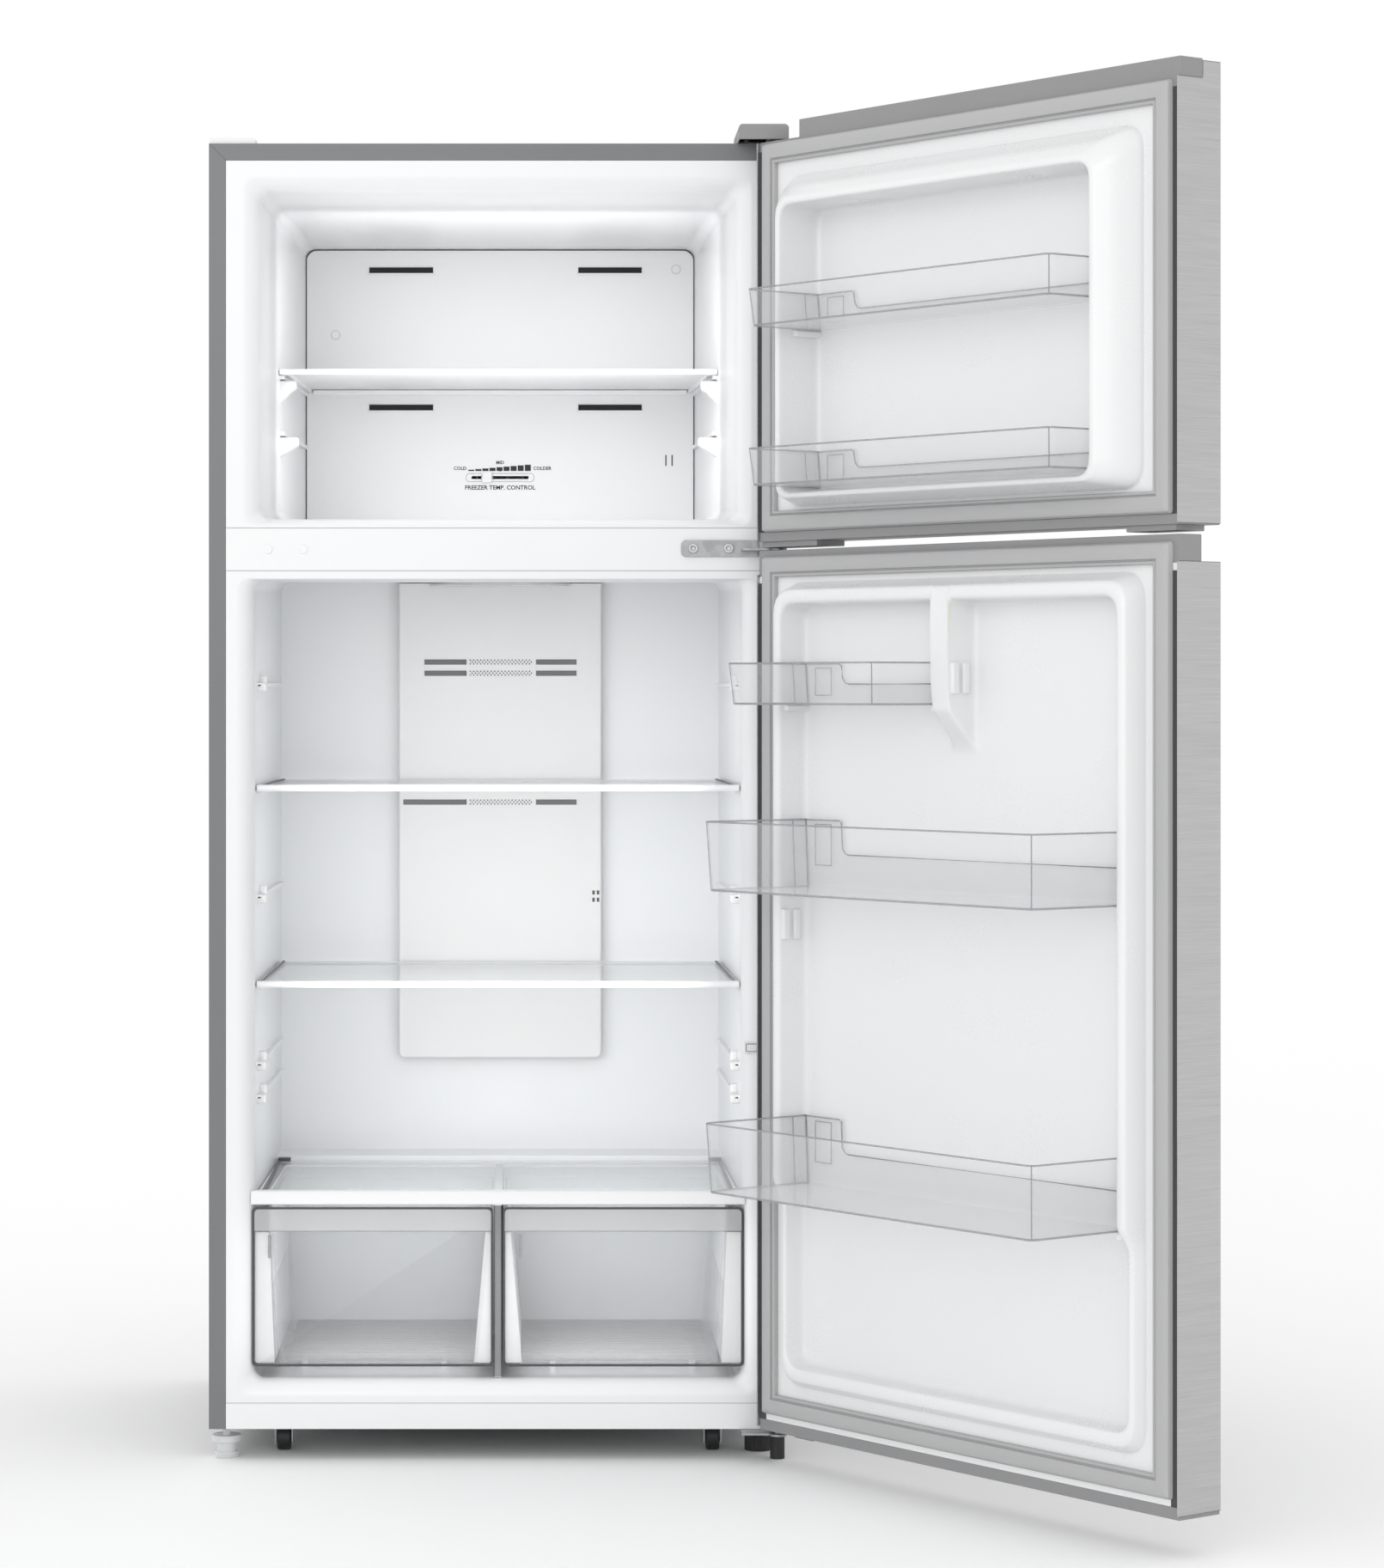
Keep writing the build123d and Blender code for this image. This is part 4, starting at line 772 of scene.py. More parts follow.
class Rows:
    """Several rows that become one object."""

    trees: dict[Unit, RowTree] = {}

    def __init__(self, name: str, unit: Unit, finish: Finish) -> None:
        """Starts an empty set of rows."""
        self.name = name
        self.finish = finish
        self.parts: list[bpy.types.Object] = []
        if unit not in Rows.trees:
            Rows.trees[unit] = RowTree(unit)
        self.tree = Rows.trees[unit]

    def add(self, count: int, start: Point, step: Point, size: Point, turn: Point = (0, 0, 0)) -> "Rows":
        """Adds one row.

        Args:
            count: The number of units.
            start: The first unit's middle: across, depth and height, in millimetres.
            step: From one unit to the next, in millimetres.
            size: A block's size, or a disc's radius twice and its thickness, in millimetres.
            turn: The units' rotation, in radians.

        Returns:
            The rows themselves.
        """
        first = (start[0] * MM, SITE.depth(start[1]), start[2] * MM)
        step, size = (tuple(c * MM for c in vector) for vector in (step, size))
        self.parts.append(self.tree.row(self.name, self.finish, Count=count, Start=first, Step=step,
                                        Size=size, Turn=turn))
        return self

    def place(self, body: str) -> bpy.types.Object:
        """Joins the rows into one object that rides on a body."""
        whole = bmesh.new()
        for part in self.parts:
            whole.from_mesh(part.data)
            bpy.data.objects.remove(part)
        data = bpy.data.meshes.new(self.name)
        whole.to_mesh(data)
        whole.free()
        return dressed(added(self.name, data), body, Look(self.finish, crease=30.0))


FACING_FRONT = (math.pi / 2, 0.0, 0.0)


# ---- cabinet -------------------------------------------------------------------------------
@dataclass
class CabinetBody:
    """The steel cabinet: its wrapper, back, base, toe panel and what closes its old hinge holes."""

    body: str = "cabinet"
    flange: float = 21.5
    joint_levels: tuple[float, ...] = (73.0, 1127.0, 1181.0)
    joint_width: float = 0.9
    mitre_width: float = 0.8
    rib_middle: float = 185.0
    rib_size: Point = (250.0, 2.4, 12.0)
    ribs_up: int = 9
    screw_middle: float = 354.0
    screw_size: Point = (4.6, 4.6, 3.0)

    def build(self) -> None:
        """Builds every piece of the cabinet's outside."""
        looks = {
            "cabinet_shell": Look(FINISH.cabinet, 0.6, 40.0, 3, False), "rear_panel": Look(FINISH.zinc, 0.3),
            "base_pan": Look(FINISH.zinc, 0.3, clamp=False), "toe_panel": Look(FINISH.white, 0.6),
            "mullion_cover": Look(FINISH.white, 0.6, clamp=False),
            "hole_covers": Look(FINISH.white, 0.4, clamp=False),
            "compressor_cover": Look(FINISH.zinc, 0.3, clamp=False), "cord_gland": Look(FINISH.black, 0.6),
        }
        for node, look in looks.items():
            rounded_node(node, self.body, look)
        self.mitres()
        self.seams()
        self.rear()

    def mitres(self) -> None:
        """Builds the fine seams where the flange is mitred at its top corners."""
        half, top = SITE.half / MM, SITE.top / MM
        low, high, width = top - self.flange, top - 1.0, self.mitre_width
        seams = Form()
        for side in (-1, 1):
            outer, inner = side * (half - 1.0), side * (half - self.flange)
            seams.slab(-0.12, 0.4, [(outer, high), (outer - side * width, high), (inner, low + width),
                                    (inner, low)])
        seams.place("flange_mitres", self.body, Look(FINISH.shadow))

    def seams(self) -> None:
        """Builds the fine joints above and below the mullion cover and over the toe panel."""
        half = SITE.half / MM - self.flange - 0.3
        joints = Form()
        for z in self.joint_levels:
            joints.block(-half, half, -0.12, 0.3, z - self.joint_width / 2, z + self.joint_width / 2)
        joints.place("front_joints", self.body, Look(FINISH.seam))

    def rear(self) -> None:
        """Builds the back panel's pressed ribs and its screws."""
        back = (SITE.back - SITE.front) / MM
        ribs = Rows("rear_ribs", Unit.BLOCK, FINISH.zinc)
        screws = Rows("rear_screws", Unit.DISC, FINISH.screw)
        for side in (-1, 1):
            ribs.add(self.ribs_up, (side * self.rib_middle, back + 0.6, 420.0), (0, 0, 130.0), self.rib_size)
            for count, low, pitch in ((7, 330.0, 218.0), (2, 70.0, 190.0)):
                screws.add(count, (side * self.screw_middle, back + 1.2, low), (0, 0, pitch),
                           self.screw_size, FACING_FRONT)
        ribs.place(self.body)
        screws.place(self.body)


@dataclass
class FreezerCompartment:
    """The freezer's liner, back panel, shelf, temperature control and cooling unit."""

    body: str = "cabinet"
    panel_depth: float = 455.0
    slots: tuple[tuple[float, float], ...] = ((-180.0, -92.0), (107.5, 195.0))
    slot_levels: tuple[float, ...] = (1553.0, 1364.3)
    caps: tuple[tuple[float, float], ...] = ((242.0, 1554.0), (-226.0, 1464.0))
    lug_levels: tuple[tuple[float, ...], ...] = ((1344.0, 1376.5, 262.0), (1276.0, 1303.0, 259.0))
    wall: float = 286.0
    bars: int = 9
    bar_pitch: float = 9.7
    bar_foot: float = 1277.0
    track_z: float = 1268.0
    track_half: tuple[float, float] = (46.0, 5.0)

    def build(self) -> None:
        """Builds the freezer compartment."""
        rounded_node("freezer_liner", self.body, Look(FINISH.liner, 0.8, 32.0, 2, False))
        rounded_node("freezer_back_panel", self.body, Look(FINISH.white, 0.5, clamp=False))
        rounded_node("freezer_shelf", "freezer_rack", Look(FINISH.white, 1.0, clamp=False))
        rounded_node("freezer_control_slider", "temperature_slider", Look(FINISH.white, 0.5, clamp=False))
        rounded_node("evaporator_coil", self.body, Look(FINISH.aluminium))
        rounded_node("evaporator_fan_motor", self.body, Look(FINISH.black, 0.6))
        rounded_node("evaporator_fan", "fan", Look(FINISH.black))
        self.panel_details()
        self.panel_outline()
        self.supports()
        self.control()

    def panel_details(self) -> None:
        """Builds the lips of the air slots, the round caps and near-black blocks of painted shade behind the
        slots.
        """
        face = self.panel_depth
        lips, dark = Form(), Form()
        for x_low, x_high in self.slots:
            for z in self.slot_levels:
                lips.block(x_low - 2, x_high + 2, face - 4.0, face + 0.2, z - 6.4, z - 4.2)
                lips.block(x_low - 2, x_high + 2, face - 1.2, face + 0.2, z + 4.2, z + 5.4)
                # painted shade: a near-black block behind each slot
                dark.block(x_low + 0.3, x_high - 0.3, face + 0.6, face + 2.6, z - 3.8, z + 3.8)
        lips.place("panel_slot_lips", self.body, Look(FINISH.white, 0.5))
        dark.place("panel_slot_darks", self.body, Look(FINISH.slot_dark))
        rims = Rows("panel_cap_rims", Unit.DISC, FINISH.light_grey)
        caps = Rows("panel_caps", Unit.DISC, FINISH.white)
        for x, z in self.caps:
            caps.add(1, (x, face - 0.8, z), (0, 0, 0), (5.6, 5.6, 2.4), FACING_FRONT)
            rims.add(1, (x, face - 0.2, z), (0, 0, 0), (6.6, 6.6, 1.2), FACING_FRONT)
        rims.place(self.body)
        caps.place(self.body)
        grooves = Rows("panel_grooves", Unit.BLOCK, FINISH.shadow)
        grooves.add(2, (228.0, face - 0.1, 1291.5), (8.5, 0, 0), (1.8, 0.6, 15.0))
        grooves.place(self.body)

    def panel_outline(self) -> None:
        """Builds the fine dark joint round the back panel."""
        low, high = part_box("freezer_back_panel")
        half, bottom, top = high.x / MM, low.z / MM, high.z / MM
        stations = []
        for grow, depth in ((0.2, 2.8), (0.2, -0.25), (-0.9, -0.25), (-0.9, 2.8)):
            edge = rounded(-half - grow, half + grow, bottom - grow, top + grow, [2.0, 2.0, 13.0, 13.0])
            stations.append((self.panel_depth + depth, edge))
        Form().standing(stations, ring=True).place("panel_joint", self.body, Look(FINISH.shadow))

    def supports(self) -> None:
        """Builds the moulded lugs under the shelf's ends and below it, and the shelf's back rail."""
        lugs = Form()
        for side in (-1, 1):
            for low, high, reach in self.lug_levels:
                wedge = ((reach, high), (self.wall, high), (self.wall, low), (reach + 8.0, high - 15.0),
                         (reach, high - 10.0))
                rib = ((reach + 3.0, high), (self.wall - 1.0, high), (self.wall - 1.0, high - 16.0),
                       (reach + 3.0, high - 7.0))
                lugs.slab(118.0, 146.0, [(side * x, z) for x, z in wedge])
                lugs.slab(150.0, 196.0, [(side * x, z) for x, z in rib])
        # painted shade: the lugs are the liner's white, given the duct's darker grey against the strong fill
        # light
        lugs.place("freezer_lugs", self.body, Look(FINISH.duct, 2.5, segments=4))
        rail = Form().block(-256.0, 256.0, 428.0, 436.5, 1379.5, 1386.5)
        rail.place("freezer_shelf_rail", "freezer_rack", Look(FINISH.white, 1.5, segments=3))

    def control(self) -> None:
        """Builds the temperature scale: rising bars, a pointer, the track's rim and plain words."""
        face = self.panel_depth
        bars = Rows("temperature_bars", Unit.BLOCK, FINISH.ink)
        for i in range(self.bars):
            height = 1.8 + 0.85 * i
            bars.add(1, (-39.5 + i * self.bar_pitch, face - 0.1, self.bar_foot + height / 2), (0, 0, 0),
                     (8.3, 0.5, height))
        bars.place(self.body)
        pointer = Form().slab(face - 0.5, face + 0.1, [(-3.2, 1281.5), (0.0, 1275.5), (3.2, 1281.5)])
        pointer.place("temperature_pointer", self.body, Look(FINISH.ink))
        half, rise = self.track_half
        low, high = self.track_z - rise, self.track_z + rise
        track = [(face + depth, rounded(-half - grow, half + grow, low - grow, high + grow, [4.0 + grow] * 4))
                 for grow, depth in ((1.2, 0.2), (1.2, -0.9), (0.0, -0.9), (0.0, 0.2))]
        rim = Form().standing(track, ring=True)
        rim.place("temperature_track", self.body, Look(FINISH.light_grey, 0.3))
        for words, x, z, size in (("COLD", -55.0, 1278.5, 6.4), ("MID", 0.0, 1286.5, 6.4),
                                  ("COLDER", 58.0, 1278.5, 6.4), ("FREEZER TEMP. CONTROL", 0.0, 1251.5, 8.2)):
            self.lettering(words, x, face - 0.15, z, size)

    def lettering(self, words: str, x: float, depth: float, z: float, size: float) -> None:
        """Prints plain words on the panel.

        Args:
            words: The words.
            x: Their middle, across.
            depth: The depth of the print.
            z: Their baseline.
            size: Their height.
        """
        curve = bpy.data.curves.new("print", "FONT")
        curve.body = words
        curve.size = size * MM
        curve.extrude = 0.15 * MM
        curve.offset = 0.14 * MM
        curve.resolution_u = 2
        curve.align_x = "CENTER"
        text = added("print", curve)
        data = bpy.data.meshes.new_from_object(text.evaluated_get(bpy.context.evaluated_depsgraph_get()))
        bpy.data.objects.remove(text)
        place = Matrix.Translation((x * MM, SITE.depth(depth), z * MM))
        data.transform(place @ Matrix.Rotation(math.pi / 2, 4, "X"))
        dressed(added("print_" + words.split()[0].lower(), data), self.body, Look(FINISH.ink))


@dataclass
class FreshFoodCompartment:
    """The fresh food liner, its air duct, lamp, light switch and edge strip."""

    body: str = "cabinet"
    duct_face: float = 455.0
    rib_levels: tuple[float, ...] = (980.0, 709.0, 495.0, 453.0)
    vents: tuple[tuple[float, float], ...] = ((1014.4, -104.0), (999.0, -104.0), (821.8, -138.0))
    vent_left: float = -46.2
    vent_right: tuple[float, float] = (49.5, 105.1)
    vent_lip: float = -104.0
    hole_pitch: float = 4.8

    def build(self) -> None:
        """Builds the fresh food compartment."""
        rounded_node("fresh_food_liner", self.body, Look(FINISH.liner, 0.8, 32.0, 2, False))
        rounded_node("fridge_air_duct", self.body, Look(FINISH.duct, 0.8, clamp=False))
        rounded_node("lamp_lens", self.body, Look(FINISH.frosted, 0.8))
        rounded_node("light_switch_plunger", "light_switch", Look(FINISH.white, 0.6))
        self.openings()
        self.hooks()
        self.edge_details()

    def hooks(self) -> None:
        """Builds the moulded lugs at the front of the spare shelf ribs."""
        lugs = Form()
        for z in self.rib_levels:
            lugs.blocks(297.0, 310.0, 50.0, 84.0, z - 6.0, z + 5.5)
            lugs.blocks(299.0, 309.0, 96.0, 112.0, z + 1.0, z + 15.0)
        # painted shade: the lugs are the liner's white, given the duct's darker grey against the strong fill
        # light
        lugs.place("side_wall_lugs", self.body, Look(FINISH.duct, 3.0, segments=3))

    def openings(self) -> None:
        """Builds the perforations between the duct's slots, the slots' trims and grey blocks of painted shade
        inside them.
        """
        face, pitch = self.duct_face, (self.hole_pitch, 0, 0)
        holes = Rows("duct_perforations", Unit.DISC, FINISH.shadow)
        trims, greys = Form(), Form()
        for z, left in self.vents:
            for i, shift in enumerate((0.0, self.hole_pitch / 2, 0.0)):
                holes.add(18, (-41.0 + shift, face - 0.05, z - 2.6 + 2.6 * i), pitch, (1.0, 1.0, 0.5),
                          FACING_FRONT)
            for x_low, x_high in ((self.vent_lip, self.vent_left), self.vent_right):
                trims.block(x_low - 1.5, x_high + 1.5, face - 1.0, face + 0.2, z + 3.6, z + 5.0)
            # painted shade: a grey block inside each slot
            for x_low, x_high in ((left, self.vent_left), self.vent_right):
                greys.block(x_low + 0.4, x_high - 0.4, face + 0.5, face + 1.6, z - 3.7, z + 3.7)
        holes.add(26, (-62.0, face - 0.05, 570.0), pitch, (1.1, 1.1, 0.5), FACING_FRONT)
        holes.place(self.body)
        trims.place("duct_slot_trims", self.body, Look(FINISH.white, 0.3))
        greys.place("duct_slot_greys", self.body, Look(FINISH.vent_grey))
        marks = Rows("duct_marks", Unit.BLOCK, FINISH.shadow)
        for z in (687.5, 697.5):
            marks.add(2, (128.5, face - 0.1, z), (6.2, 0, 0), (3.4, 0.6, 5.6))
        marks.place(self.body)

    def edge_details(self) -> None:
        """Builds the switch's bezel and the plain strip on the right-hand side of the mouth."""
        left, right, low, high = 314.5, 328.4, 518.2, 527.8
        stations = [(depth, rounded(left - grow, right + grow, low - grow, high + grow, [1.5] * 4, 3))
                    for grow, depth in ((2.4, 8.0), (2.4, -0.8), (0.4, -0.8), (0.4, 8.0))]
        bezel = Form().standing(stations, ring=True)
        bezel.place("switch_bezel", self.body, Look(FINISH.white, 0.3))
        strip = Form().block(333.5, 342.0, -0.25, 0.3, 811.0, 922.0)
        strip.place("rim_strip", self.body, Look(FINISH.light_grey))


@dataclass
class ShelfSet:
    """The pull-out glass shelves: glass, side edges and a thick front trim."""

    levels: dict[str, float] = field(default_factory=lambda: {"upper": 855.0, "lower": 605.0})
    half_front: float = 307.0
    half_back: float = 301.0
    front: float = 28.0
    back: float = 452.0

    def build(self) -> None:
        """Builds both glass shelves."""
        for level, top in self.levels.items():
            body = f"{level}_shelf"
            rounded_node(f"{level}_shelf_glass", body, Look(FINISH.glass, 0.8))
            rounded_node(f"{level}_shelf_frame", body, Look(FINISH.white, 0.6, clamp=False))
            self.edges(level, top)

    def edges(self, level: str, top: float) -> None:
        """Builds the dark strips along a shelf's sides and the rounded nose of its front trim."""
        nose = Form()
        y, half = SITE.plane + self.front, self.half_front - 0.4
        profile = [(y - 1.2, top - 6.5), (y - 1.8, top - 4.5), (y - 1.2, top - 1.5), (y + 1.0, top + 0.2),
                   (y + 1.0, top - 7.6)]
        nose.skin([[(x, *point) for point in profile] for x in (-half, half)])
        nose.place(f"{level}_shelf_nose", f"{level}_shelf", Look(FINISH.white, 0.5))
        strips = Form()
        for side in (-1, 1):
            front, back = side * (self.half_front - 3.0), side * (self.half_back - 3.0)
            strip = [(front, self.front + 12.0), (front - side * 2.6, self.front + 12.0),
                     (back - side * 2.6, self.back - 3.0), (back, self.back - 3.0)]
            strips.lying([(top - 2.2, strip), (top - 0.6, strip)])
        strips.place(f"{level}_shelf_strips", f"{level}_shelf", Look(FINISH.glass_edge))


@dataclass
class CrisperSet:
    """The two clear crispers under their glass cover."""

    inner: float = 6.0
    outer: float = 311.5
    low: float = 118.0
    high: float = 320.0
    front: float = 8.0
    back: float = 388.0
    band_low: float = 290.0
    cover: float = 336.4
    divider_low: float = 104.5
    divider_high: float = 322.0
    floor_ribs: int = 22

    def build(self) -> None:
        """Builds the crispers and their cover."""
        rounded_node("crisper_cover_glass", "cabinet", Look(FINISH.glass, 0.8))
        rounded_node("crisper_cover_frame", "cabinet", Look(FINISH.white, 0.8, clamp=False))
        self.cover_details()
        for side, name in ((-1, "left"), (1, "right")):
            rounded_node(f"{name}_crisper", f"{name}_drawer", Look(FINISH.crisper, 0.8, clamp=False))
            self.tub(side, name)

    def cover_details(self) -> None:
        """Builds the dark brackets at the cover's back corners and the divider's dark sides."""
        brackets = Form().blocks(296.0, 301.0, 20.0, 391.0, self.cover, self.cover + 1.2)
        brackets.blocks(284.0, 301.0, 378.0, 391.0, self.cover, self.cover + 4.6)
        brackets.place("cover_brackets", "cabinet", Look(FINISH.glass_edge, 0.4))
        sides = Form().blocks(4.4, 4.9, 13.0, 380.0, self.divider_low, self.divider_high)
        sides.place("divider_sides", "cabinet", Look(FINISH.shadow))
        # painted shade: the divider's face in dark grey
        face = Form().block(-4.0, 4.0, 12.6, 13.9, self.divider_low, self.divider_high)
        face.place("divider_face", "cabinet", Look(FINISH.divider, 0.4))

    def tub(self, side: int, name: str) -> None:
        """Builds one crisper's outline, its paler top band, white sheets with painted sheen for its clear side
        walls, pale wedges at its front sides, and its ribbed floor.

        Args:
            side: -1 for the left one, 1 for the right one.
            name: Its name.
        """
        body = f"{name}_drawer"
        left, right = sorted((side * self.inner, side * self.outer))
        # painted shade: a near-black bead round the clear front
        bead = [(self.front + d, rounded(left + g, right - g, self.low + g, self.high - g, [5.0] * 4, 4))
                for d, g in ((-0.5, 0.2), (-1.0, 0.9), (-1.0, 2.0), (-0.5, 2.8), (4.2, 2.8), (4.2, 0.2))]
        Form().standing(bead, ring=True).place(f"{name}_crisper_outline", body, Look(FINISH.crisper_rim_shade))
        inside, face, foot = (left + 2.5, right - 2.5), self.front - 0.1, self.band_low
        band = Form().block(*inside, face - 0.5, face, foot, self.high - 2.5)
        band.place(f"{name}_crisper_band", body, Look(FINISH.crisper_band))
        line = Form().block(*inside, face - 0.8, face, foot - 1.0, foot)
        line.place(f"{name}_crisper_line", body, Look(FINISH.clear_edge))
        # painted sheen: opaque white sheets stand for the clear side walls, which look white where seen edge
        # on
        walls = Form()
        tub_in, tub_out = self.inner + 2.0, 294.5
        for edge, turn, high, low in ((tub_in, 1, 4.0, 20.5), (tub_out, -1, 3.0, 10.0)):
            top, bottom = side * (edge + turn * high), side * (edge + turn * low)
            shift, z_low, z_high = side * turn * 0.8, self.low + 5.0, self.high - 6.0
            sheet = [(top, z_high), (top + shift, z_high), (bottom + shift, z_low), (bottom, z_low)]
            walls.slab(self.front + 6.5, self.back - 12.0, sheet)
        walls.place(f"{name}_crisper_walls", body, Look(FINISH.white))
        cheeks = Form()
        for edge, turn, high, low in ((self.inner + 3.0, 1, 7.0, 21.5), (self.outer - 3.0, -1, 18.0, 25.0)):
            z_low, z_high = self.low + 4.0, self.band_low - 2.0
            wedge = [(side * edge, z_high), (side * (edge + turn * high), z_high),
                     (side * (edge + turn * low), z_low), (side * edge, z_low)]
            cheeks.slab(self.front + 4.6, self.front + 5.4, wedge)
        cheeks.place(f"{name}_crisper_cheeks", body, Look(FINISH.duct))
        # painted shade: the clear ribs in grey
        ribs = Rows(f"{name}_crisper_ribs", Unit.BLOCK, FINISH.floor_rib_shade)
        middle = side * (tub_in + tub_out) / 2
        pitch = (self.back - self.front - 50.0) / (self.floor_ribs - 1)
        first = (middle, self.front + 25.0, self.low + 4.6)
        ribs.add(self.floor_ribs, first, (0, pitch, 0), (240.0, 2.4, 1.8))
        ribs.place(body)
        x = left + 22.0
        ends = rounded(x - 2.2, x + 2.2, 255.0, 285.0, [2.1] * 4, 4)
        slot = Form().slab(self.front - 0.4, self.front + 0.1, ends)
        slot.place(f"{name}_crisper_slot", body, Look(FINISH.clear_edge))


# ---- doors ---------------------------------------------------------------------------------
@dataclass
class DoorBin:
    """One clear door bin: its tub and the heavier edges that outline it."""

    node: str
    body: str
    x_low: float
    x_high: float
    z_low: float
    height: float
    reach: float
    back: float = -21.0
    draft: float = 4.0

    def build(self) -> None:
        """Builds the bin."""
        rounded_node(self.node, self.body, Look(FINISH.clear, 0.5, clamp=False))
        self.edges()

    def around(self, inset: float, z: float) -> list[Point]:
        """Returns the path along the ends and the front, a little inside the wall."""
        left, right, front = self.x_low + inset, self.x_high - inset, self.reach - inset
        turn = 11.0
        path = [(left, self.back, z), (left, front - turn, z)]
        path += [(left + turn * (1 - math.cos(a)), front - turn * (1 - math.sin(a)), z)
                 for a in (math.radians(15 * k) for k in range(1, 6))]
        mirror = [(left + right - x, d, z) for x, d, _ in reversed(path)]
        return path + mirror

    def edges(self) -> None:
        """Builds the rim, the foot, the corner lines and the outline of the stepped back wall."""
        high = self.z_low + self.height
        form = Form()
        form.rod(self.around(0.9, high - 0.6), 1.1, 8)
        form.rod(self.around(self.draft + 1.2, self.z_low + 1.0), 1.3, 8)
        for x, turn in ((self.x_low, 1), (self.x_high, -1)):
            top, foot = x + turn * 0.9, x + turn * (self.draft + 1.0)
            front = self.reach
            low_z, high_z = self.z_low + 1, high - 1
            form.rod([(foot + turn * 3, front - 8.5, low_z), (top + turn * 3, front - 4.4, high_z)], 0.8, 8)
            for depth, radius in ((self.back + 0.6, 1.0), (self.back + 22, 0.7)):
                form.rod([(foot, depth, low_z), (top, depth, high_z)], radius, 8)
        tall = min(70.0, (self.x_high - self.x_low) / 3)
        step = self.z_low + self.height * 0.5
        line = self.back + 1.2
        x_step = self.x_high - tall
        rim = high - 0.8
        back_edge = [(self.x_high - 1, rim), (x_step + 6, rim), (x_step + 1.5, high - 3),
                     (x_step - 0.5, step + 8), (x_step - 5, step + 1.5), (x_step - 12, step - 0.3),
                     (self.x_low + 30, step - 0.3), (self.x_low + 24, step + 3), (self.x_low + 23, rim),
                     (self.x_low + 1, rim)]
        form.rod([(x, line, z) for x, z in back_edge], 0.9, 8)
        left, right = self.x_high - tall * 0.52 - 15, self.x_high - tall * 0.52 + 15
        panel = [(left, step - 14), (right, step - 14), (right, high - 6), (left, high - 6)]
        for (x_one, z_one), (x_two, z_two) in zip(panel, panel[1:] + panel[:1]):
            form.rod([(x_one, line + 1.6, z_one), (x_two, line + 1.6, z_two)], 0.6, 6)
        form.place(f"{self.node}_edges", self.body, Look(FINISH.clear_edge), SITE.swing())


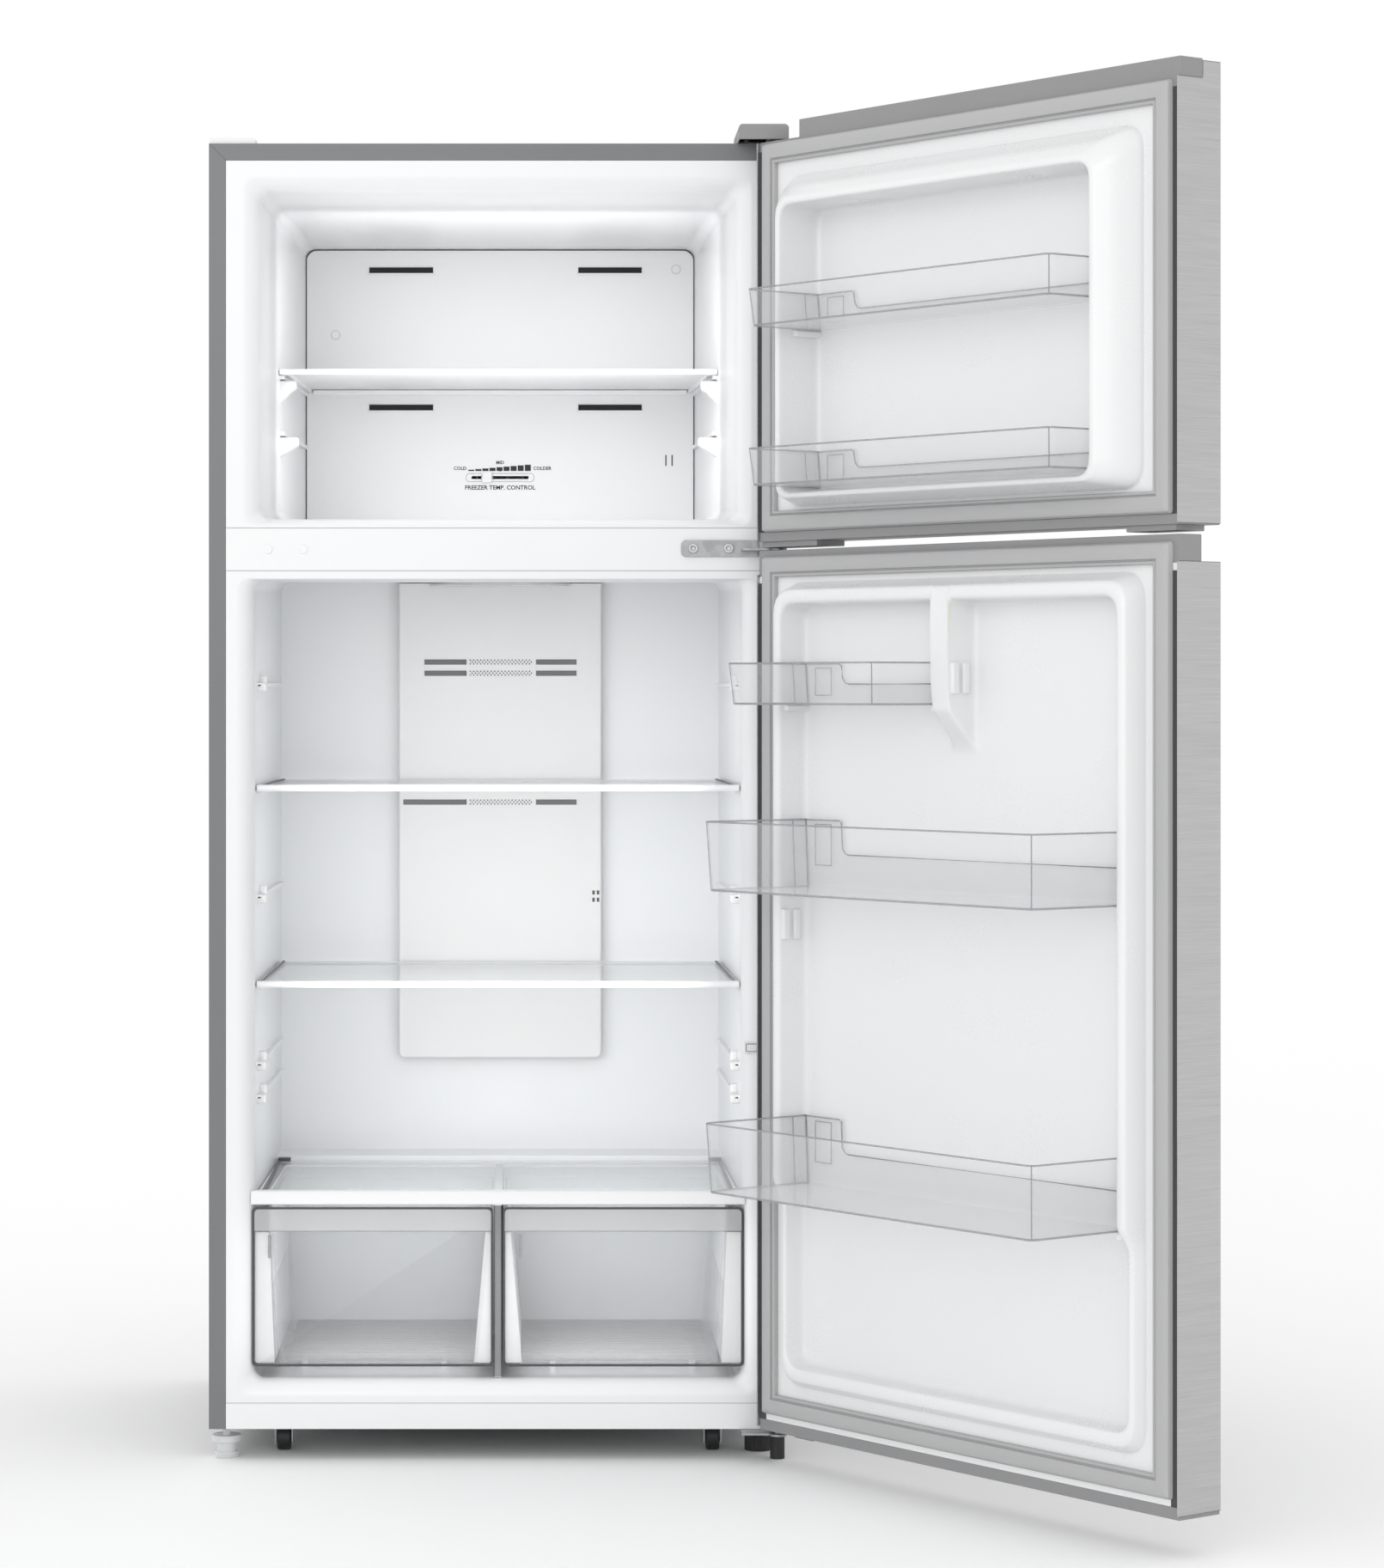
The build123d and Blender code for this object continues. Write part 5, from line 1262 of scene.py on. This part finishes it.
@dataclass
class DoorSet:
    """One door: its skin, caps, liner, gasket and bins."""

    name: str
    gasket_low: float
    gasket_high: float
    core: tuple[float, float]
    path: list[tuple[float, ...]]
    path_radii: tuple[float, ...]
    lugs: list[tuple[float, ...]]
    bins: list["DoorBin"]
    step_levels: tuple[float, ...] = ()
    crest_edge: float = 293.5
    wall: float = 2.2
    gasket_half: float = 355.0
    edge_half: float = 364.8
    rim_depth: float = -10.0
    jog_reach: float = 5.0
    jog_run: float = 12.5

    @property
    def body(self) -> str:
        """The door's CAD body."""
        return f"{self.name}_door"

    def build(self) -> None:
        """Builds the door."""
        door = self.body
        rounded_node(f"{door}_skin", door, Look(FINISH.steel, 1.2, 40.0, 3, False))
        rounded_node(f"{door}_top_cap", door, Look(FINISH.grey, 0.8, clamp=False))
        rounded_node(f"{door}_bottom_cap", door, Look(FINISH.grey, 0.8, clamp=False))
        self.liner()
        self.edge_strip()
        self.gasket()
        for bin_ in self.bins:
            bin_.build()

    def liner(self) -> None:
        """Builds the moulded liner with its rounded ridge, its ledges and tabs, and the foam behind it."""
        moulding = self.moulding([(-30.0, *self.path[0][1:]), *self.path[1:]])
        # the door liner and its lugs take the liner white darkened as painted shade
        moulding.place(f"{self.name}_liner_moulding", self.body, Look(FINISH.door_liner, crease=65.0),
                       SITE.swing(), [f"{self.body}_liner"])
        low, high = self.core
        behind = [(depth, self.edge_half - 0.3, low + 0.5, high - 0.5, 3.0, *self.path[0][5:])
                  for depth in (-73.8, -12.2)]
        for key in self.path[2:]:
            turn = -1 if key[1] > self.crest_edge else 1
            wall = turn * self.wall
            depth, half, low, high, radius, rib, split = key
            behind.append((depth - self.wall, half + wall, low - wall, high + wall, radius, rib - wall,
                           split + wall))
        foam = self.moulding(behind)
        foam.place(f"{self.name}_foam_core", self.body, Look(FINISH.foam, crease=65.0), SITE.swing(),
                   [f"{self.body}_foam"])
        lugs = Form()
        for limits in self.lugs:
            lugs.block(*limits)
        look = Look(FINISH.door_liner, 2.2, segments=3)
        lugs.place(f"{self.name}_liner_lugs", self.body, look, SITE.swing())

    def moulding(self, path: Sequence[tuple[float, ...]]) -> Form:
        """Skins the door's inner face along a path of stations.

        Args:
            path: Stations of depth, half width, low, high, corner radius, half of the rib and its lower end.

        Returns:
            The closed form.
        """
        loops = []
        for depth, half, low, high, radius, rib, split in filleted(path, self.path_radii):
            sides = [(z, half + self.jog(z, half)) for z in self.step_levels]
            foot = half + self.jog(low, half)
            corners = [(-foot, low, radius), (foot, low, radius)]
            corners += [(x, z, 0.0) for z, x in sides]
            corners += [(half, high, radius)]
            if self.step_levels:
                notch = max(min(radius, 7.0, (high - split) / 2), 0.0)
                corners += [(x, z, notch) for x, z in ((rib, high), (rib, split), (-rib, split), (-rib, high))]
            corners += [(-half, high, radius)]
            corners += [(-x, z, 0.0) for z, x in reversed(sides)]
            loops.append([(x, SITE.plane + self.raised(depth, z), z) for x, z in outline(corners)])
        return Form().skin(loops)

    def jog(self, z: float, half: float) -> float:
        """Returns how much further out the inner wall lies below the ridge's end."""
        if not self.step_levels:
            return 0.0
        low, high = self.step_levels[0], self.step_levels[-1]
        share = min(max((high - z) / (high - low), 0.0), 1.0)
        inward = min(max((self.crest_edge + self.jog_run - half) / self.jog_run, 0.0), 1.0)
        return self.jog_reach * inward * share * share * (3 - 2 * share)

    def raised(self, depth: float, z: float) -> float:
        """Returns a ridge depth, less where the ridge runs down into the low rim."""
        if depth <= self.rim_depth or not self.step_levels:
            return depth
        low, high = self.step_levels[0], self.step_levels[-1]
        share = min(max((z - low) / (high - low), 0.0), 1.0)
        height = 0.5 + 0.5 * share * share * (3 - 2 * share)
        return self.rim_depth + (depth - self.rim_depth) * height

    def edge_strip(self) -> None:
        """Builds the dark strips between the seal and the steel: the door's flange, darkened with painted
        shade for the shadowed gap beside the seal.
        """
        # painted shade over the flange, in the gap beside the seal
        form = Form().blocks(self.gasket_half - 3.0, self.edge_half, -10.6, -9.4, *self.core)
        form.place(f"{self.name}_edge_strip", self.body, Look(FINISH.seal_gap_shade), SITE.swing())

    def gasket(self) -> None:
        """Builds the extruded seal with its folds, as one frame."""
        section = ((0.0, -10.0), (0.0, -7.6), (1.4, -6.4), (1.4, -4.2), (3.0, -2.6), (6.0, -1.4),
                   (11.0, -0.7), (17.0, -0.7), (19.5, -1.6), (20.2, -4.6), (21.4, -5.0), (22.2, -3.0),
                   (24.0, -2.4), (25.6, -3.4), (26.0, -6.0), (26.0, -10.0))
        stations = []
        for inset, depth in section:
            half = self.gasket_half - inset
            low, high = self.gasket_low + inset, self.gasket_high - inset
            stations.append((depth, rounded(-half, half, low, high, [max(4.0 - inset, 0.4)] * 4, 4)))
        form = Form().standing(stations, ring=True)
        form.place(f"{self.name}_gasket_seal", self.body, Look(FINISH.gasket, crease=50.0),
                   SITE.swing(), [f"{self.body}_gasket"])


def ledges(edge: float, z: float, depth_high: float) -> list[tuple[float, ...]]:
    """Returns the limits of the two ledges that a bin rests on."""
    return [(edge - 8, edge + 2, -24.0, depth_high, z - 8.3, z - 0.3),
            (-edge - 2, -edge + 8, -24.0, depth_high, z - 8.3, z - 0.3)]


def freezer_door() -> DoorSet:
    """Returns the freezer door: a high two-slope ridge around one recess, and two bins."""
    path = [(*station, 0.0, 0.0) for station in (
        (-12.0, 364.8, 1174.2, 1651.8, 3.0), (-9.8, 364.8, 1174.2, 1651.8, 3.0),
        (-9.8, 311.5, 1204.6, 1615.5, 30.0), (-5.0, 310.5, 1205.2, 1614.6, 30.0),
        (20.0, 295.0, 1209.0, 1599.0, 28.0), (40.0, 277.0, 1212.5, 1581.0, 24.0),
        (40.0, 270.0, 1218.5, 1574.0, 22.0), (-24.0, 267.0, 1221.0, 1571.0, 20.0),
        (-24.0, 246.0, 1242.0, 1550.0, 10.0))]
    bins = [DoorBin(f"freezer_{level}_bin", f"{level}_freezer_bin", -266.0, 266.0, z, 46.0, 97.0)
            for level, z in (("upper", 1421.0), ("lower", 1226.0))]
    lugs = ledges(270.0, 1421.0, 18.0) + ledges(270.0, 1226.0, 18.0)
    return DoorSet("freezer", 1174.0, 1661.0, (1174.0, 1652.0), path, (0.0, 5.0, 4.0, 9.0, 5.0, 5.0, 9.0),
                   lugs, bins, crest_edge=270.5)


def fridge_door() -> DoorSet:
    """Returns the fresh food door: a ridge with a centre rib and a low rim below, and three bins."""
    path = [
        (-12.0, 364.8, 60.2, 1118.5, 3.0, 15.0, 1118.5), (-9.8, 364.8, 60.2, 1118.5, 3.0, 15.0, 1118.5),
        (-9.8, 314.5, 109.5, 1109.5, 34.0, 15.0, 1109.5), (-6.0, 313.6, 110.5, 1108.6, 34.0, 15.0, 1108.6),
        (20.0, 306.0, 119.0, 1099.0, 30.0, 15.0, 1099.0), (20.0, 293.0, 134.0, 1083.0, 24.0, 15.0, 954.0),
        (-24.0, 290.5, 136.0, 1081.0, 22.0, 17.5, 905.0), (-24.0, 270.0, 156.0, 1061.0, 10.0, 38.0, 884.0)]
    bins = [DoorBin("fridge_half_bin", "half_bin", 19.0, 289.0, 958.0, 51.0, 110.0),
            DoorBin("fridge_middle_bin", "middle_bin", -289.0, 289.0, 730.5, 85.0, 146.0),
            DoorBin("fridge_bottom_bin", "bottom_bin", -289.0, 289.0, 362.0, 85.0, 146.0)]
    lugs = ledges(293.0, 730.5, 12.0) + ledges(293.0, 362.0, 12.0)
    lugs += [(13.0, 23.0, -24.0, 12.0, 949.7, 957.7), (285.0, 295.0, -24.0, 12.0, 949.7, 957.7)]
    for x, z in ((-21.0, 971.0), (287.0, 666.0)):
        lugs += [(x, x + 8.0, d, d + 11.0, z, z + 38.0) for d in (-12.0, 5.0)]
    return DoorSet("fridge", 68.0, 1143.0, (60.0, 1110.0), path, (0.0, 5.0, 4.0, 6.0, 6.0, 10.0), lugs, bins,
                   (338.0, 344.0, 350.0, 355.0, 360.0, 366.0, 372.0))


# ---- hinges and feet -----------------------------------------------------------------------
@dataclass
class Hardware:
    """Hinges, screws, rollers, feet and the machine compartment."""

    body: str = "cabinet"

    def build(self) -> None:
        """Builds the hardware."""
        for node in ("top_hinge", "middle_hinge", "bottom_hinge", "roller_brackets"):
            rounded_node(node, self.body, Look(FINISH.zinc, 0.4, clamp=False))
        rounded_node("hinge_screws", self.body, Look(FINISH.screw, 0.6))
        rounded_node("top_hinge_cover", self.body, Look(FINISH.grey, 0.8))
        for node, body in (("front_roller_left", "left_roller"), ("front_roller_right", "right_roller"),
                           ("rear_rollers", "rear_wheels"), ("right_foot_wheel", "height_wheel"),
                           ("right_foot", "right_levelling_foot")):
            rounded_node(node, body, Look(FINISH.black, 0.3))
        rounded_node("left_foot", "left_levelling_foot", Look(FINISH.frosted, 0.6))
        rounded_node("compressor", self.body, Look(FINISH.enamel, 0.8))
        rounded_node("drain_pan", self.body, Look(FINISH.black, 0.6))


def dress_hidden() -> None:
    """Gives the CAD nodes that stay as they are their materials."""
    for node, finish in (("cabinet_insulation", FINISH.foam), ("condenser_coil", FINISH.zinc)):
        obj = frame["nodes"][node]
        obj.data.materials.clear()
        obj.data.materials.append(finish.material())


# ---- studio --------------------------------------------------------------------------------
@dataclass(frozen=True)
class Fill:
    """A soft lamp in a cavity: its depth and the height of its middle, its size and its power."""

    name: str
    depth: float
    middle: float
    width: float
    height: float
    power: float


FILLS = (
    Fill("upper_freezer_fill", 0.060, 1.485, 0.50, 0.15, 0.34),
    Fill("lower_freezer_fill", 0.060, 1.285, 0.50, 0.14, 0.40),
    Fill("freezer_mouth_fill", -0.010, 1.395, 0.50, 0.36, 0.34),
    Fill("fresh_food_fill", 0.004, 0.710, 0.50, 0.68, 1.30),
    Fill("crisper_fill", 0.026, 0.215, 0.50, 0.16, 0.42),
    Fill("crisper_front_fill", -0.035, 0.215, 0.62, 0.17, 0.16),
)


@dataclass
class Studio:
    """The floor, the lights and the camera."""

    distance: float = 5.3
    across: float = 0.0354
    height: float = 0.976
    lens: float = 96.1
    shift: tuple[float, float] = (0.106, -0.060)
    reach: float = 30.0
    sun: float = 0.45
    key: float = 8.0

    def build(self) -> None:
        """Builds the studio."""
        self.floor()
        self.lights()
        self.camera()

    def floor(self) -> None:
        """Lays a large pale floor."""
        data = bpy.data.meshes.new("studio_floor")
        corners = [(x * self.reach, y * self.reach, 0) for x, y in ((-1, -1), (1, -1), (1, 1), (-1, 1))]
        data.from_pydata(corners, [], [(0, 1, 2, 3)])
        floor = added("studio_floor", data)
        paper = Finish("floor_paper", "white_liner", (0.975, 0.975, 0.975), 1.0, shade=0.995, grain=200.0)
        data.materials.append(paper.material())

    def lights(self) -> None:
        """Sets a bright even surround, a soft frontal light and a large lamp on the left."""
        world = bpy.data.worlds.new("studio_light")
        world.use_nodes = True
        sky = world.node_tree.nodes["Background"].inputs
        sky["Color"].default_value = (1.0, 1.0, 1.0, 1.0)
        sky["Strength"].default_value = 1.0
        bpy.context.scene.world = world
        front = bpy.data.lights.new("front", "SUN")
        front.energy = self.sun
        front.angle = math.radians(30.0)
        self.aim(front, Vector((-0.25, -1.0, 0.22)) * 6.0, Vector((0.0, 0.0, 0.0)))
        key = bpy.data.lights.new("key", "AREA")
        key.energy = self.key
        key.size = 2.0
        self.aim(key, Vector((-1.9, -3.6, 2.4)), Vector((0.0, SITE.front, 0.95)))
        for fill in FILLS:
            light = bpy.data.lights.new(fill.name, "AREA")
            light.shape = "RECTANGLE"
            light.size, light.size_y = fill.width, fill.height
            light.energy = fill.power
            place = Vector((0.0, SITE.front + fill.depth, fill.middle))
            lamp = self.aim(light, place, place + Vector((0.0, 1.0, 0.0)))
            lamp.visible_camera = False
            lamp.visible_glossy = False

    @staticmethod
    def aim(light: bpy.types.Light, place: Vector, target: Vector) -> bpy.types.Object:
        """Puts a light at a place, pointing at a target, and returns its object."""
        lamp = added(light.name, light)
        lamp.location = place
        lamp.rotation_euler = (target - place).to_track_quat("-Z", "Y").to_euler()
        return lamp

    def camera(self) -> None:
        """Sets a level camera in front of the cabinet."""
        data = bpy.data.cameras.new("view")
        data.lens = self.lens
        data.sensor_width = 36.0
        data.sensor_fit = "AUTO"
        data.shift_x, data.shift_y = self.shift
        camera = added("view", data)
        camera.location = (self.across, SITE.front - self.distance, self.height)
        camera.rotation_euler = (math.pi / 2, 0.0, 0.0)
        scene = bpy.context.scene
        scene.camera = camera
        scene.view_settings.view_transform = "Standard"
        scene.cycles.transparent_max_bounces = 32


def main() -> None:
    """Builds the refrigerator's looks and the studio."""
    logging.basicConfig(level=logging.INFO, format="%(name)s: %(message)s")
    parts: dict[str, Any] = {
        "cabinet": CabinetBody(),
        "freezer compartment": FreezerCompartment(),
        "fresh food compartment": FreshFoodCompartment(),
        "shelves": ShelfSet(),
        "crispers": CrisperSet(),
        "freezer door": freezer_door(),
        "fresh food door": fridge_door(),
        "hardware": Hardware(),
        "studio": Studio(),
    }
    for name, part in parts.items():
        part.build()
        LOG.info("%s built", name)
    dress_hidden()


if __name__ == "__main__":
    main()
